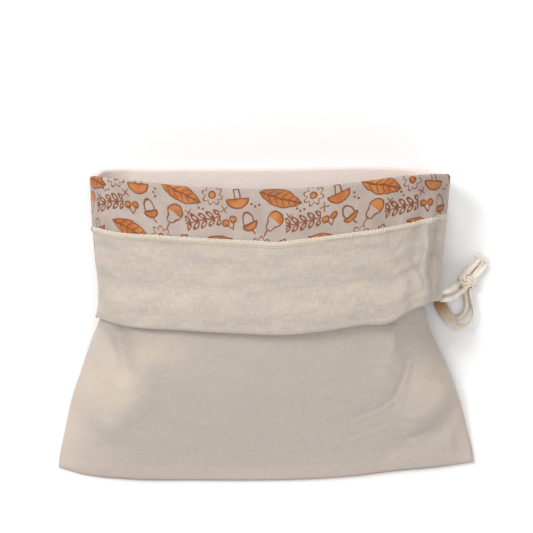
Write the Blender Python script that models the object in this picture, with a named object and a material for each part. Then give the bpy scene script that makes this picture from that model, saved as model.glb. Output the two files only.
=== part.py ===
"""A drawstring bread bag of waxed cotton, lying open on its back, its top turned down once as a deep cuff.

X runs across the bag, Y from the bottom seam towards the open mouth and Z up from the surface that it lies
on. Every size and table is in millimetres. MM turns them into metres, and MIDDLE_Y brings the bag's middle to
the origin.
"""

import math
from collections import namedtuple

import bpy
import numpy as np

MM = 0.001
MIDDLE_Y = 0.2  # the middle of the bag's length in these tables

# The cloth and how its layers lie.
COTTON = 1.0  # thickness of the outer cloth
LINING = 1.0  # thickness of the waxed lining
PLY_GAP = 0.3  # between two layers
SEAM_GAP = 0.5  # between the front and rear pieces at a side seam
TURN_GAP = 0.6  # between the wall and the cotton turned down over it
CHANNEL_GAP = 1.3  # between the turned cotton and the facing outside it
BAND_STEP = 0.3  # how far the lining's band lies back from the facing's outer face
CHANNEL_PUFF = 4.2  # how far the channel stands out in front
CHANNEL_ENDS = 0.16  # the part of the front's width in which the channel flattens towards each side seam
MOUTH_ROUND = 0.8  # the share of that puff in the turn at the mouth edge
WALL_STACK = COTTON + PLY_GAP + LINING
CUFF_STACK = TURN_GAP + COTTON + CHANNEL_GAP + COTTON
RIM_REACH = (WALL_STACK + CUFF_STACK - BAND_STEP) / 2  # how far the lining's turn runs past the wall

# The lines across each panel, as (x, y) seen from above. The rim and the mouth edge are where the cloth turns
# back, so their lines are the cloth's outermost edge.
Point = namedtuple("Point", "x y")
BOTTOM_SEAM = (
    Point(-176, -121.8),
    Point(-156, -127.6),
    Point(-119, -131.9),
    Point(-59, -132.9),
    Point(0, -132.9),
    Point(37, -132.0),
    Point(73, -129.5),
    Point(109, -125.2),
    Point(145, -121.8),
    Point(176, -117.3),
)
FRONT_RIM = (
    Point(-144, 124.4),
    Point(-134, 122.4),
    Point(-100, 118.2),
    Point(-75, 115.0),
    Point(-45, 113.0),
    Point(5, 112.0),
    Point(28, 112.6),
    Point(45, 114.0),
    Point(62, 116.2),
    Point(87, 119.4),
    Point(104, 122.2),
    Point(118, 123.6),
    Point(149, 126.0),
)
REAR_RIM = (
    Point(-144, 124.4),
    Point(-140, 129.0),
    Point(-130, 131.2),
    Point(-99, 131.6),
    Point(0, 132.0),
    Point(120, 131.9),
    Point(134, 130.5),
    Point(149, 126.0),
)
FRONT_OVERLOCK = (
    Point(-146, 79.4),
    Point(-125, 74.6),
    Point(-86, 71.4),
    Point(-45, 68.8),
    Point(-5, 66.5),
    Point(4, 65.8),
    Point(26, 68.0),
    Point(57, 72.0),
    Point(86, 76.0),
    Point(116, 81.5),
    Point(150, 89.9),
)
REAR_OVERLOCK = (Point(-146, 79.4), Point(0, 84.5), Point(150, 89.9))
FRONT_MOUTH = (
    Point(-142, 5.9),
    Point(-130, 2.2),
    Point(-65, -4.0),
    Point(-24, -6.2),
    Point(16, -7.4),
    Point(46, -4.6),
    Point(77, 0.2),
    Point(104, 3.6),
    Point(110, 7.4),
    Point(120, 12.6),
    Point(134, 18.4),
    Point(148, 20.0),
)
REAR_MOUTH = (Point(-142, 5.9), Point(0, 12.8), Point(148, 20.0))

# The wall's two side edges, as seen from above: where each is at a distance along the bag.
Side = namedtuple("Side", "along left right")
SIDES = (
    Side(-134, -176.8, 177.0),
    Side(-121, -176.3, 176.2),
    Side(-110, -174.8, 175.0),
    Side(-88, -170.4, 170.0),
    Side(-64, -164.8, 163.2),
    Side(-40, -156.6, 154.2),
    Side(-20, -149.6, 144.8),
    Side(-8, -145.0, 138.8),
    Side(2, -140.4, 134.6),
    Side(12, -137.6, 132.2),
    Side(30, -136.8, 131.6),
    Side(60, -140.0, 137.4),
    Side(90, -142.0, 143.8),
    Side(125, -143.7, 149.9),
    Side(140, -144.2, 151.6),
)

# The wall's cross-section along the middle of the bag. crown is the front's height, side the height of the
# side seams, rise the angle in degrees at which the panels leave them, corner the width over which the rear
# panel comes down to its flat part, and rest the height of that flat part.
Section = namedtuple("Section", "along crown side rise corner rest")
MIDDLE_BOTTOM = -132.9
MIDDLE_RIM = 109.0
SECTIONS = (
    Section(-134, 4.9, 2.45, 0, 6, 0),
    Section(-128, 7.6, 2.6, 8, 6, 0),
    Section(-112, 18.0, 3.4, 24, 7, 0),
    Section(-90, 34.5, 5.6, 42, 10, 0),
    Section(-60, 57.0, 11.0, 60, 16, 0),
    Section(-34, 72.0, 17.5, 74, 22, 0.3),
    Section(-14, 79.8, 22.8, 85, 27, CUFF_STACK),
    Section(4, 82.5, 26.0, 90, 30, CUFF_STACK),
    Section(30, 85.0, 29.0, 90, 31, CUFF_STACK),
    Section(70, 88.0, 32.0, 90, 31, CUFF_STACK),
    Section(115, 90.0, 34.0, 90, 30, CUFF_STACK),
    Section(145, 89.0, 34.0, 90, 30, CUFF_STACK),
)
CROWN_AT = 4  # how far right of the middle the highest line runs
SHOULDER = 0.66  # fullness of the front's shoulders, where 0.55 is round
SLACK_EDGE = 0.36  # fullness beside a seam that lies flat
CORNER_FULLNESS = 0.4
FRONT_GIRTH = 362  # the front panel's width along its curve, under the cuff

# How far the cuff stands off the wall at its mouth edge, at parts of the way across the front.
Flare = namedtuple("Flare", "across off")
FLARES = (
    Flare(0.0, 0.6),
    Flare(0.12, 1.6),
    Flare(0.35, 3.6),
    Flare(0.6, 4.4),
    Flare(0.78, 5.0),
    Flare(0.9, 9.5),
    Flare(1.0, 13.0),
)
FLARE_BEND = 1.3  # above 1, the cuff leaves the wall late
REAR_FLARE_REACH = 0.06  # how far across the rear panel the cuff still stands off beside the side seams
OVERLOCK_FLARE = 0.3  # the share of that flare at the overlocked seam
CHANNEL_TOP = 0.71  # the channel's crease, as a part of the cuff's depth
CHANNEL_RISE = 0.17  # the depth in which it swells below its crease
CHANNEL_BELLY = 0.88  # the depth below which it draws in again
CHANNEL_DRAW = 0.2  # by this share of its puff

# The bag's broad folds: ridges, and troughs with a height below zero, each along a line seen from above.
Fold = namedtuple("Fold", "height width line")
POCKET_LINE = (Point(-132, 12), Point(-124, -8), Point(-118, -22))
POCKET_LIP_LINE = (Point(-145, -6), Point(-140, -22), Point(-132, -40))
SIDE_CREASE_LINE = (
    Point(140, -20),
    Point(124, -31),
    Point(119, -44),
    Point(109, -62),
    Point(90, -74),
    Point(58, -85),
)
SIDE_RIDGE_LINE = (Point(136, -34), Point(130, -46), Point(122, -62), Point(104, -80))
CUFF_RIDGE_LINE = (Point(104, -2), Point(105, -28), Point(100, -46))
CUFF_TROUGH_LINE = (Point(117, 0), Point(116, -18))
LOW_CREASE_LINE = (Point(154, -68), Point(144, -84), Point(126, -97), Point(104, -103))
CORNER_RIDGE_LINE = (Point(152, -88), Point(155, -106))
WALL_FOLDS = (
    Fold(-6.0, 13, POCKET_LINE),
    Fold(3.0, 10, POCKET_LIP_LINE),
    Fold(-3.2, 8, SIDE_CREASE_LINE),
    Fold(2.4, 11, SIDE_RIDGE_LINE),
    Fold(3.5, 12, CUFF_RIDGE_LINE),
    Fold(-3.0, 12, CUFF_TROUGH_LINE),
    Fold(-3.0, 9, LOW_CREASE_LINE),
    Fold(2.4, 9, CORNER_RIDGE_LINE),
)
FOLD_ENDS = 0.35  # a fold's height at its two ends, as a share of its height halfway
FOLDS_REACH = 14  # how far the folds run on under the cuff
FOLDS_FADE = 26  # the length in which they die out there
BOTTOM_FADE = 16  # and beside the bottom seam
SIDE_FADE = 0.05  # and beside the side seams, as a part of the width

# The cuff's upright gathers beside its right end: how far each lies from the right side seam, along the
# cloth, at the rim and at the mouth edge.
Gather = namedtuple("Gather", "height width in_top in_end")
RIGHT_GATHERS = (
    Gather(-2.0, 5.0, 24, 31),
    Gather(1.5, 5.0, 33, 40),
    Gather(-1.0, 5.0, 44, 50),
    Gather(2.2, 8.0, 112, 36),
)
GATHER_START = 0.35  # the part of the cuff's depth in which the gathers rise from nothing at the rim

# The drawstring is flat cotton tape, rolled narrow where it is pulled tight. Each row of a route is a place
# on the tape's middle line, its width and thickness there, and the direction across it.
Tape = namedtuple("Tape", "x y z width thick across")
UPRIGHT = (0.0, 0.0, 1.0)
UPPER_STRAND = (
    Tape(149.2, 27.6, 27.2, 3.4, 2.6, (0.0, 0.7, 0.7)),
    Tape(152.2, 28.2, 25.6, 3.8, 2.6, (0.0, 0.8, 0.6)),
    Tape(156.0, 29.8, 21.0, 4.0, 2.6, (-0.3, 0.9, 0.4)),
    Tape(159.2, 32.0, 15.6, 4.0, 2.6, (-0.5, 0.9, 0.3)),
    Tape(162.6, 34.4, 11.0, 3.8, 2.6, (-0.5, 0.8, 0.2)),
)
LOWER_STRAND = (
    Tape(149.0, 20.8, 24.4, 3.8, 3.0, (0.0, 0.7, 0.7)),
    Tape(153.0, 21.4, 21.6, 4.2, 3.0, (-0.2, 0.8, 0.6)),
    Tape(157.6, 23.0, 16.4, 4.2, 3.0, (-0.3, 0.8, 0.5)),
    Tape(162.4, 25.6, 12.4, 4.0, 2.8, (-0.4, 0.8, 0.4)),
    Tape(166.0, 28.2, 10.8, 3.8, 2.8, (-0.4, 0.8, 0.3)),
    Tape(168.2, 30.4, 10.6, 3.6, 2.8, (-0.5, 0.8, 0.3)),
)
LOOP = (
    Tape(172.0, 29.0, 6.0, 6.5, 2.0, UPRIGHT),
    Tape(172.8, 23.0, 6.0, 8.5, 1.9, UPRIGHT),
    Tape(173.9, 17.2, 6.0, 10.0, 1.7, UPRIGHT),
    Tape(175.1, 11.6, 6.1, 10.4, 1.5, UPRIGHT),
    Tape(174.9, 6.4, 6.0, 10.4, 1.4, UPRIGHT),
    Tape(172.6, 1.8, 6.0, 10.4, 1.4, UPRIGHT),
    Tape(168.8, -1.2, 6.0, 10.4, 1.4, (0.15, -0.2, 0.96)),
    Tape(164.4, -2.0, 6.0, 10.4, 1.4, (0.0, -0.38, 0.92)),
    Tape(160.2, -0.8, 6.8, 10.4, 1.4, (-0.35, -0.62, 0.7)),
    Tape(156.8, 2.0, 7.6, 10.4, 1.4, (-0.6, -0.62, 0.5)),
    Tape(153.4, 6.4, 7.8, 10.4, 1.4, (-0.76, -0.56, 0.34)),
    Tape(149.8, 11.4, 8.4, 10.4, 1.4, (-0.83, -0.52, 0.18)),
    Tape(147.2, 16.2, 8.8, 10.2, 1.4, (-0.94, -0.3, 0.06)),
    Tape(146.6, 20.4, 8.2, 9.4, 1.5, (-1.0, 0.0, 0.0)),
    Tape(146.4, 22.6, 5.6, 7.0, 1.8, (-1.0, 0.0, 0.0)),
    Tape(146.8, 20.4, 2.9, 5.2, 2.2, (-1.0, 0.0, 0.0)),
    Tape(148.8, 14.6, 1.9, 4.2, 2.4, (-0.9, -0.4, 0.0)),
    Tape(152.6, 8.6, 1.8, 4.0, 2.6, (-0.8, -0.6, 0.0)),
    Tape(157.0, 5.4, 1.7, 4.0, 2.6, (-0.6, -0.8, 0.0)),
    Tape(162.0, 5.0, 1.6, 4.0, 2.5, (0.1, -1.0, 0.0)),
    Tape(166.2, 7.4, 1.9, 3.8, 2.6, (0.6, -0.8, 0.2)),
    Tape(168.9, 11.6, 2.6, 3.8, 2.6, (0.9, -0.3, 0.5)),
    Tape(169.8, 16.6, 3.4, 3.8, 2.6, (0.9, 0.0, 0.6)),
    Tape(169.0, 22.6, 4.0, 3.8, 2.6, (0.9, 0.1, 0.6)),
    Tape(167.8, 29.0, 4.6, 3.6, 2.6, (0.9, 0.2, 0.5)),
)
LEFT_TAIL = (
    Tape(169.6, 43.4, 6.2, 5.0, 2.4, (0.63, -0.52, 0.57)),
    Tape(172.4, 47.6, 5.2, 5.6, 2.4, (0.63, -0.52, 0.57)),
    Tape(176.0, 52.0, 4.2, 6.0, 2.2, (0.65, -0.56, 0.5)),
    Tape(179.2, 55.8, 3.6, 5.8, 2.0, (0.67, -0.58, 0.45)),
)
RIGHT_TAIL = (
    Tape(175.2, 39.3, 5.6, 5.2, 2.4, (0.7, -0.6, 0.4)),
    Tape(179.2, 44.0, 4.4, 6.0, 2.4, (0.7, -0.6, 0.38)),
    Tape(182.6, 48.0, 3.6, 6.4, 2.2, (0.7, -0.6, 0.36)),
    Tape(185.6, 51.4, 3.1, 6.0, 2.0, (0.72, -0.62, 0.3)),
)
TAPE_STEP = 2.4
TAPE_SIDES = 8
TAPE_SQUARENESS = 0.55  # below 1, the tape's section is squarer than an ellipse
KNOT_CENTRE = (169.3, 36.4, 7.2)
KNOT_HALF_SIZES = (9.0, 5.5, 6.4)
KNOT_TURN = math.radians(-33.5)
KNOT_WRAP = 0.16  # depth of the grooves between the knot's turns, as a part of its size
KNOT_TURNS = 4.2  # the grooves' waves along the knot
KNOT_SLANT = 1.1  # and how they lean around it
KNOT_PHASE = 0.6
KNOT_FADE = 1.3  # how the grooves die out towards its sides
KNOT_TWIST = 0.7
KNOT_SIDES = 22
KNOT_RINGS = 13

# How finely each panel is laid out.
FRONT_COLUMNS = 30
REAR_COLUMNS = 14
RIGHT_CROWDING = 0.285  # how far the front's columns close up towards the creased right side
REAR_CROWDING = 0.6  # how far the rear's columns close up towards both of its corners
WALL_ROWS = 18
CUFF_ROWS = 7
TURN_STEPS = 5
FACING_ROWS = 9
BAND_ROWS = 5
TABLE_ROWS = 141
TABLE_COLUMNS = 181
TABLE_START = -0.03
TABLE_END = 1.06
ARCH_POINTS = 200
TROUGH_POINTS = 60


def curve_through(at, knots, values):
    """The height at each place of a smooth curve through the knots."""
    knots = np.asarray(knots, float)
    values = np.asarray(values, float)
    slopes = np.gradient(values, knots)
    at = np.asarray(at, float)
    left = np.clip(np.searchsorted(knots, at) - 1, 0, len(knots) - 2)
    step = knots[left + 1] - knots[left]
    part = np.clip((at - knots[left]) / step, 0.0, 1.0)
    rise = values[left + 1] - values[left]
    slope_in = slopes[left] * step
    slope_out = slopes[left + 1] * step
    bend = part * (1 - part)
    straight = values[left] + rise * part * part * (3 - 2 * part)
    return straight + bend * ((1 - part) * slope_in - part * slope_out)


def line_height(line, x):
    """How far along the bag a line lies at each x."""
    return curve_through(x, [p.x for p in line], [p.y for p in line])


def bezier(start, leave, arrive, end, part):
    """Points of a cubic curve, one row for each part of the way."""
    part = part[:, None]
    back = 1 - part
    first_half = back**3 * start + 3 * back**2 * part * leave
    second_half = 3 * back * part**2 * arrive + part**3 * end
    return first_half + second_half


def evenly_spaced(line, count):
    """Points at equal distances along a dense line."""
    steps = np.linalg.norm(np.diff(line, axis=0), axis=1)
    run = np.concatenate([[0.0], np.cumsum(steps)])
    at = np.linspace(0.0, run[-1], count)
    return np.column_stack([np.interp(at, run, column) for column in line.T])


def smooth_step(value):
    value = np.clip(value, 0.0, 1.0)
    return value * value * (3 - 2 * value)


def distance_to_line(x, y, line):
    """Each point's distance to a line of straight runs, and the part of its length where it is nearest."""
    lengths = [math.dist(a, b) for a, b in zip(line, line[1:])]
    whole = sum(lengths)
    nearest = np.full(x.shape, np.inf)
    where = np.zeros(x.shape)
    done = 0.0
    for (start, end), length in zip(zip(line, line[1:]), lengths):
        run_x = (end.x - start.x) / length
        run_y = (end.y - start.y) / length
        along = np.clip((x - start.x) * run_x + (y - start.y) * run_y, 0.0, length)
        away = np.hypot(x - start.x - along * run_x, y - start.y - along * run_y)
        closer = away < nearest
        nearest = np.where(closer, away, nearest)
        where = np.where(closer, (done + along) / whole, where)
        done += length
    return nearest, where


def fold_relief(x, y, folds):
    """How far the folds raise the cloth at each point."""
    raised = np.zeros(x.shape)
    for fold in folds:
        away, where = distance_to_line(x, y, fold.line)
        full = FOLD_ENDS + (1 - FOLD_ENDS) * np.sqrt(np.sin(math.pi * np.clip(where, 0.02, 0.98)))
        raised += fold.height * full * np.exp(-((away / fold.width) ** 2))
    return raised


class Wall:
    """One side of the bag's wall: its outer face, front or rear, laid out across the bag and along it.

    A place on it is given by across, from 0 at the left side seam to 1 at the right one, and along, from 0 at
    the bottom seam to 1 at the rim.
    """

    def __init__(self, front):
        self.front = front
        outline = FRONT_RIM if front else REAR_RIM
        self.rim = [Point(p.x, p.y - RIM_REACH) for p in outline]
        self.overlock = FRONT_OVERLOCK if front else REAR_OVERLOCK
        self.mouth = FRONT_MOUTH if front else REAR_MOUTH
        self.along = np.linspace(TABLE_START, TABLE_END, TABLE_ROWS)
        self.across = np.linspace(0.0, 1.0, TABLE_COLUMNS)
        self.points = np.array([self.row(part) for part in self.along])
        self.points[:, :, 2] += self.folds()
        self.normals = self.outward()

    def edge_places(self, part):
        """The left and right side edges, as (x, y), at one part of the way along."""
        sides = []
        for end, column in ((0, "left"), (-1, "right")):
            y = BOTTOM_SEAM[end].y * (1 - part) + self.rim[end].y * part
            x = curve_through(y, [s.along for s in SIDES], [getattr(s, column) for s in SIDES])
            sides.append((float(x), y))
        return sides

    def row(self, part):
        """One cross-section, as points at equal distances from the left edge to the right one."""
        (left, _), (right, _) = self.edge_places(part)
        middle = MIDDLE_BOTTOM * (1 - part) + MIDDLE_RIM * part
        knots = [s.along for s in SECTIONS]
        crown, side, rise, corner, rest = (
            float(curve_through(middle, knots, [s[k] for s in SECTIONS])) for k in range(1, 6)
        )
        rest = min(max(rest, 0.0), CUFF_STACK)
        rise = math.radians(min(max(rise, 0.0), 90.0))
        apart = SEAM_GAP / 2 + WALL_STACK * math.cos(rise)
        if self.front:
            outline = self.arch(left, right, side + apart, crown, rise)
        else:
            outline = self.trough(left, right, side - apart, rest, rise, corner)
        outline = evenly_spaced(outline, TABLE_COLUMNS)
        share = (outline[:, 0] - left) / (right - left)
        y = self.spread(BOTTOM_SEAM, share) * (1 - part) + self.spread(self.rim, share) * part
        return np.column_stack([outline[:, 0], y, outline[:, 1]])

    def spread(self, line, share):
        """How far along the bag a line lies, at shares of its own width from left to right."""
        return line_height(line, line[0].x + share * (line[-1].x - line[0].x))

    def arch(self, left, right, foot, crown, rise):
        """The front panel's cross-section, as (x, z): up from each side seam and over the crown."""
        crown = max(crown, foot)
        top = np.array([CROWN_AT, crown])
        upright = rise / (math.pi / 2)
        part = np.linspace(0.0, 1.0, ARCH_POINTS)
        halves = []
        for edge, way in ((left, 1), (right, -1)):
            reach = abs(top[0] - edge)
            start = np.array([edge, foot])
            pull = SLACK_EDGE * reach * (1 - upright) + SHOULDER * (crown - foot) * upright
            leave = start + pull * np.array([way * math.cos(rise), math.sin(rise)])
            arrive = top - np.array([way * SHOULDER * reach, 0.0])
            halves.append(bezier(start, leave, arrive, top, part))
        return np.concatenate([halves[0], halves[1][-2::-1]])

    def trough(self, left, right, foot, rest, rise, corner):
        """The rear panel's cross-section, as (x, z): down from each side seam, then flat."""
        foot = max(foot, rest)
        part = np.linspace(0.0, 1.0, TROUGH_POINTS)
        halves = []
        for edge, way in ((left, 1), (right, -1)):
            start = np.array([edge, foot])
            low = np.array([edge + way * corner, rest])
            pull = CORNER_FULLNESS * math.hypot(corner, foot - rest)
            leave = start + pull * np.array([way * math.cos(rise), -math.sin(rise)])
            leave[1] = max(leave[1], rest)
            arrive = low - np.array([way * CORNER_FULLNESS * corner, 0.0])
            halves.append(bezier(start, leave, arrive, low, part))
        return np.concatenate([halves[0], halves[1][::-1]])

    def folds(self):
        """The front panel's folds, which die out under the cuff and at the seams."""
        if not self.front:
            return np.zeros(self.points.shape[:2])
        x = self.points[:, :, 0]
        y = self.points[:, :, 1]
        below_cuff = smooth_step((line_height(self.mouth, x) + FOLDS_REACH - y) / FOLDS_FADE)
        from_bottom = smooth_step((y - line_height(BOTTOM_SEAM, x)) / BOTTOM_FADE)
        from_side = smooth_step(np.minimum(self.across, 1 - self.across) / SIDE_FADE)[None, :]
        return fold_relief(x, y, WALL_FOLDS) * below_cuff * from_bottom * from_side

    def outward(self):
        """The outward direction at every point of the table."""
        over = np.gradient(self.points, axis=1)
        up = np.gradient(self.points, axis=0)
        normal = np.cross(over, up)
        normal /= np.linalg.norm(normal, axis=2, keepdims=True)
        return normal if self.front else -normal

    def at(self, across, along):
        """Points and outward directions at places given as arrays of one shape."""
        column = np.clip(across, 0.0, 1.0) * (TABLE_COLUMNS - 1)
        row = (along - TABLE_START) / (TABLE_END - TABLE_START) * (TABLE_ROWS - 1)
        row = np.clip(row, 0.0, TABLE_ROWS - 1)
        i = np.minimum(row.astype(int), TABLE_ROWS - 2)
        j = np.minimum(column.astype(int), TABLE_COLUMNS - 2)
        f = (row - i)[..., None]
        g = (column - j)[..., None]
        found = []
        for table in (self.points, self.normals):
            low = table[i, j] * (1 - g) + table[i, j + 1] * g
            high = table[i + 1, j] * (1 - g) + table[i + 1, j + 1] * g
            found.append(low * (1 - f) + high * f)
        point, normal = found
        return point, normal / np.linalg.norm(normal, axis=-1, keepdims=True)

    def length(self, across):
        """The distance from the bottom seam to the rim, seen from above, at one place across."""
        ends, _ = self.at(np.array([across, across]), np.array([0.0, 1.0]))
        return float(ends[1, 1] - ends[0, 1])

    def distance_at(self, line, across, off):
        """How far from the bottom seam a line seen from above crosses cloth that stands off the wall."""
        length = self.length(across)
        part = 0.7
        for _ in range(6):
            place, normal = self.at(np.array([across]), np.array([part]))
            wanted = float(line_height(line, place[0, 0] + normal[0, 0] * off))
            part += (wanted - place[0, 1] - normal[0, 1] * off) / length
        return part * length

    def flare(self, across):
        """How far the cuff's mouth edge stands off the wall at one place across."""
        if self.front:
            return float(curve_through(across, [f.across for f in FLARES], [f.off for f in FLARES]))
        from_left = smooth_step(1 - across / REAR_FLARE_REACH)
        from_right = smooth_step(1 - (1 - across) / REAR_FLARE_REACH)
        return float(FLARES[0].off * from_left + FLARES[-1].off * from_right)

    def puff(self, across):
        """How far the channel stands out at one place across. The rear one is pressed flat."""
        if not self.front:
            return 0.0
        from_left = smooth_step(across / CHANNEL_ENDS)
        from_right = smooth_step((1 - across) / CHANNEL_ENDS)
        return CHANNEL_PUFF * float(from_left * from_right)

    def gathers(self, across, depth):
        """The upright gathers beside the cuff's right end, at parts of the cuff's depth."""
        if not self.front:
            return np.zeros(np.shape(depth))
        in_from_right = (1 - across) * FRONT_GIRTH
        raised = np.zeros(np.shape(depth))
        for gather in RIGHT_GATHERS:
            centre = gather.in_top + (gather.in_end - gather.in_top) * depth
            away = (in_from_right - centre) / gather.width
            raised = raised + gather.height * np.exp(-(away**2))
        return raised * smooth_step(depth / GATHER_START)


def turn(centre, radius, first_side, steps, end):
    """A half turn in the plane of distance along the bag and distance off the wall, without its end points.

    end is 1 for a turn over the rim and -1 for one at the mouth edge. first_side is where it starts.
    """
    angles = np.linspace(0.0, math.pi, steps + 2)[1:-1]
    along = centre[0] + end * radius * np.sin(angles)
    off = centre[1] + first_side * radius * np.cos(angles)
    return along, off


def cuff_lift(wall, across, depth):
    """How far the cuff's layers stand off the wall beyond their thickness, at parts of the cuff's depth."""
    depth = np.asarray(depth, float)
    return wall.flare(across) * depth**FLARE_BEND + wall.gathers(across, depth)


def mouth_radius(wall, across):
    """The radius of the cotton's turn at the mouth edge, at its middle line."""
    return (COTTON + CHANNEL_GAP + MOUTH_ROUND * wall.puff(across)) / 2


def cuff_lines(wall, across):
    """How far from the bottom seam the wall's end, the overlocked seam and the turn at the mouth edge are."""
    flare = wall.flare(across)
    overlock = wall.distance_at(wall.overlock, across, CUFF_STACK + OVERLOCK_FLARE * flare)
    mouth = wall.distance_at(wall.mouth, across, CUFF_STACK + flare + wall.puff(across) / 2)
    return wall.length(across), overlock, mouth + mouth_radius(wall, across) + COTTON / 2


def cotton_path(wall, across):
    """The cotton's middle line at one place across, as millimetres along the bag and off the wall."""
    length, overlock, mouth = cuff_lines(wall, across)
    cuff = length - mouth
    first = np.linspace(0.0, length, WALL_ROWS)
    along = [first]
    off = [np.full(WALL_ROWS, -COTTON / 2)]
    over_rim = turn((length, TURN_GAP / 2), (TURN_GAP + COTTON) / 2, -1, TURN_STEPS, 1)
    along.append(over_rim[0])
    off.append(over_rim[1])
    depth = np.linspace(0.0, 1.0, CUFF_ROWS)
    along.append(length - depth * cuff)
    off.append(TURN_GAP + COTTON / 2 + cuff_lift(wall, across, depth))
    lift = float(cuff_lift(wall, across, 1.0))
    radius = mouth_radius(wall, across)
    at_mouth = turn((mouth, TURN_GAP + COTTON / 2 + lift + radius), radius, -1, TURN_STEPS, -1)
    along.append(at_mouth[0])
    off.append(at_mouth[1])
    top = (length - overlock + PLY_GAP / 2) / cuff
    depth = np.linspace(1.0, top, FACING_ROWS)
    swell = smooth_step((depth - CHANNEL_TOP) / CHANNEL_RISE)
    draw = 1 - CHANNEL_DRAW * smooth_step((depth - CHANNEL_BELLY) / (1 - CHANNEL_BELLY))
    along.append(length - depth * cuff)
    outside = CUFF_STACK - COTTON / 2
    off.append(outside + cuff_lift(wall, across, depth) + wall.puff(across) * swell * draw)
    return np.concatenate(along), np.concatenate(off)


def lining_path(wall, across):
    """The lining's middle line at one place across, as millimetres along the bag and off the wall."""
    length, overlock, mouth = cuff_lines(wall, across)
    cuff = length - mouth
    inside = -COTTON - PLY_GAP - LINING / 2
    outside = CUFF_STACK - BAND_STEP - LINING / 2
    along = [np.linspace(0.0, length, WALL_ROWS)]
    off = [np.full(WALL_ROWS, inside)]
    over_rim = turn((length, (inside + outside) / 2), (outside - inside) / 2, -1, TURN_STEPS, 1)
    along.append(over_rim[0])
    off.append(over_rim[1])
    depth = np.linspace(0.0, (length - overlock - PLY_GAP / 2) / cuff, BAND_ROWS)
    along.append(length - depth * cuff)
    off.append(outside + cuff_lift(wall, across, depth))
    return np.concatenate(along), np.concatenate(off)


def column_places(wall):
    """The places across at which a panel is laid out."""
    count = FRONT_COLUMNS if wall.front else REAR_COLUMNS
    even = np.linspace(0.0, 1.0, count)
    if wall.front:
        return even + RIGHT_CROWDING * even * (1 - even)
    crowded = 0.5 - 0.5 * np.cos(math.pi * even)
    return REAR_CROWDING * crowded + (1 - REAR_CROWDING) * even


def cloth_faces(wall, path, thickness):
    """The two faces of one cloth, as points in rows along the path and columns across the bag."""
    places = column_places(wall)
    faces = [[], []]
    for across in places:
        along, off = path(wall, across)
        run = np.gradient(along)
        climb = np.gradient(off)
        size = np.hypot(run, climb)
        for side, way in ((0, -1), (1, 1)):
            shifted_along = along - way * thickness / 2 * climb / size
            shifted_off = off + way * thickness / 2 * run / size
            part = shifted_along / wall.length(across)
            point, normal = wall.at(np.full(part.shape, across), part)
            faces[side].append(point + normal * shifted_off[:, None])
    return [np.stack(face, axis=1) for face in faces]


def closed_sheet(inner, outer, flip):
    """Vertices and faces of a closed sheet between two grids of points."""
    rows, columns = inner.shape[:2]
    points = np.concatenate([inner.reshape(-1, 3), outer.reshape(-1, 3)])

    def corner(layer, row, column):
        return layer * rows * columns + row * columns + column

    faces = []
    for row in range(rows - 1):
        for column in range(columns - 1):
            low, next_low = (row, column), (row, column + 1)
            high, next_high = (row + 1, column), (row + 1, column + 1)
            for half in ((low, next_low, next_high), (low, next_high, high)):
                faces.append([corner(1, *place) for place in half])
                faces.append([corner(0, *place) for place in half[::-1]])
    edges = []
    for row in range(rows - 1):
        edges.append(((row, 0), (row + 1, 0), 1))
        edges.append(((row, columns - 1), (row + 1, columns - 1), -1))
    for column in range(columns - 1):
        edges.append(((0, column), (0, column + 1), -1))
        edges.append(((rows - 1, column), (rows - 1, column + 1), 1))
    for place, after, way in edges:
        quad = [corner(0, *place), corner(1, *place), corner(1, *after), corner(0, *after)]
        faces.append(quad[::way])
    if flip:
        faces = [face[::-1] for face in faces]
    return points, faces


def make_material(name, colour, roughness):
    material = bpy.data.materials.new(name)
    material.use_nodes = True
    shader = material.node_tree.nodes["Principled BSDF"]
    shader.inputs["Base Color"].default_value = (*colour, 1.0)
    shader.inputs["Roughness"].default_value = roughness
    shader.inputs["Metallic"].default_value = 0.0
    return material


def make_piece(name, points, faces, material):
    mesh = bpy.data.meshes.new(name)
    placed = (np.asarray(points) - [0.0, MIDDLE_Y, 0.0]) * MM
    mesh.from_pydata(placed.tolist(), [], faces)
    mesh.materials.append(material)
    mesh.shade_smooth()
    mesh.update()
    piece = bpy.data.objects.new(name, mesh)
    bpy.context.scene.collection.objects.link(piece)
    return piece


def make_cloth(name, wall, path, thickness, material):
    inner, outer = cloth_faces(wall, path, thickness)
    points, faces = closed_sheet(inner, outer, flip=not wall.front)
    return make_piece(name, points, faces, material)


def squared(part):
    """A sine or cosine drawn out so that the tape's section is squarer than an ellipse."""
    return math.copysign(abs(part) ** TAPE_SQUARENESS, part)


def tape_rings(route):
    """The rings of points around a tape that follows a smooth curve through its route."""
    middle = np.array([row[:3] for row in route])
    across = np.array([row.across for row in route])
    run = np.concatenate([[0.0], np.cumsum(np.linalg.norm(np.diff(middle, axis=0), axis=1))])
    at = np.linspace(0.0, run[-1], max(4, round(run[-1] / TAPE_STEP)))
    centre = np.column_stack([curve_through(at, run, column) for column in middle.T])
    across = np.column_stack([curve_through(at, run, column) for column in across.T])
    width = curve_through(at, run, [row.width for row in route])
    thick = curve_through(at, run, [row.thick for row in route])
    ahead = np.gradient(centre, axis=0)
    ahead /= np.linalg.norm(ahead, axis=1, keepdims=True)
    across -= ahead * np.sum(across * ahead, axis=1, keepdims=True)
    across /= np.linalg.norm(across, axis=1, keepdims=True)
    face = np.cross(ahead, across)
    half_width = across * width[:, None] / 2
    half_thick = face * thick[:, None] / 2
    rings = []
    for side in range(TAPE_SIDES):
        angle = 2 * math.pi * (side + 0.5) / TAPE_SIDES
        rings.append(centre + squared(math.cos(angle)) * half_width + squared(math.sin(angle)) * half_thick)
    return np.stack(rings, axis=1)


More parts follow.
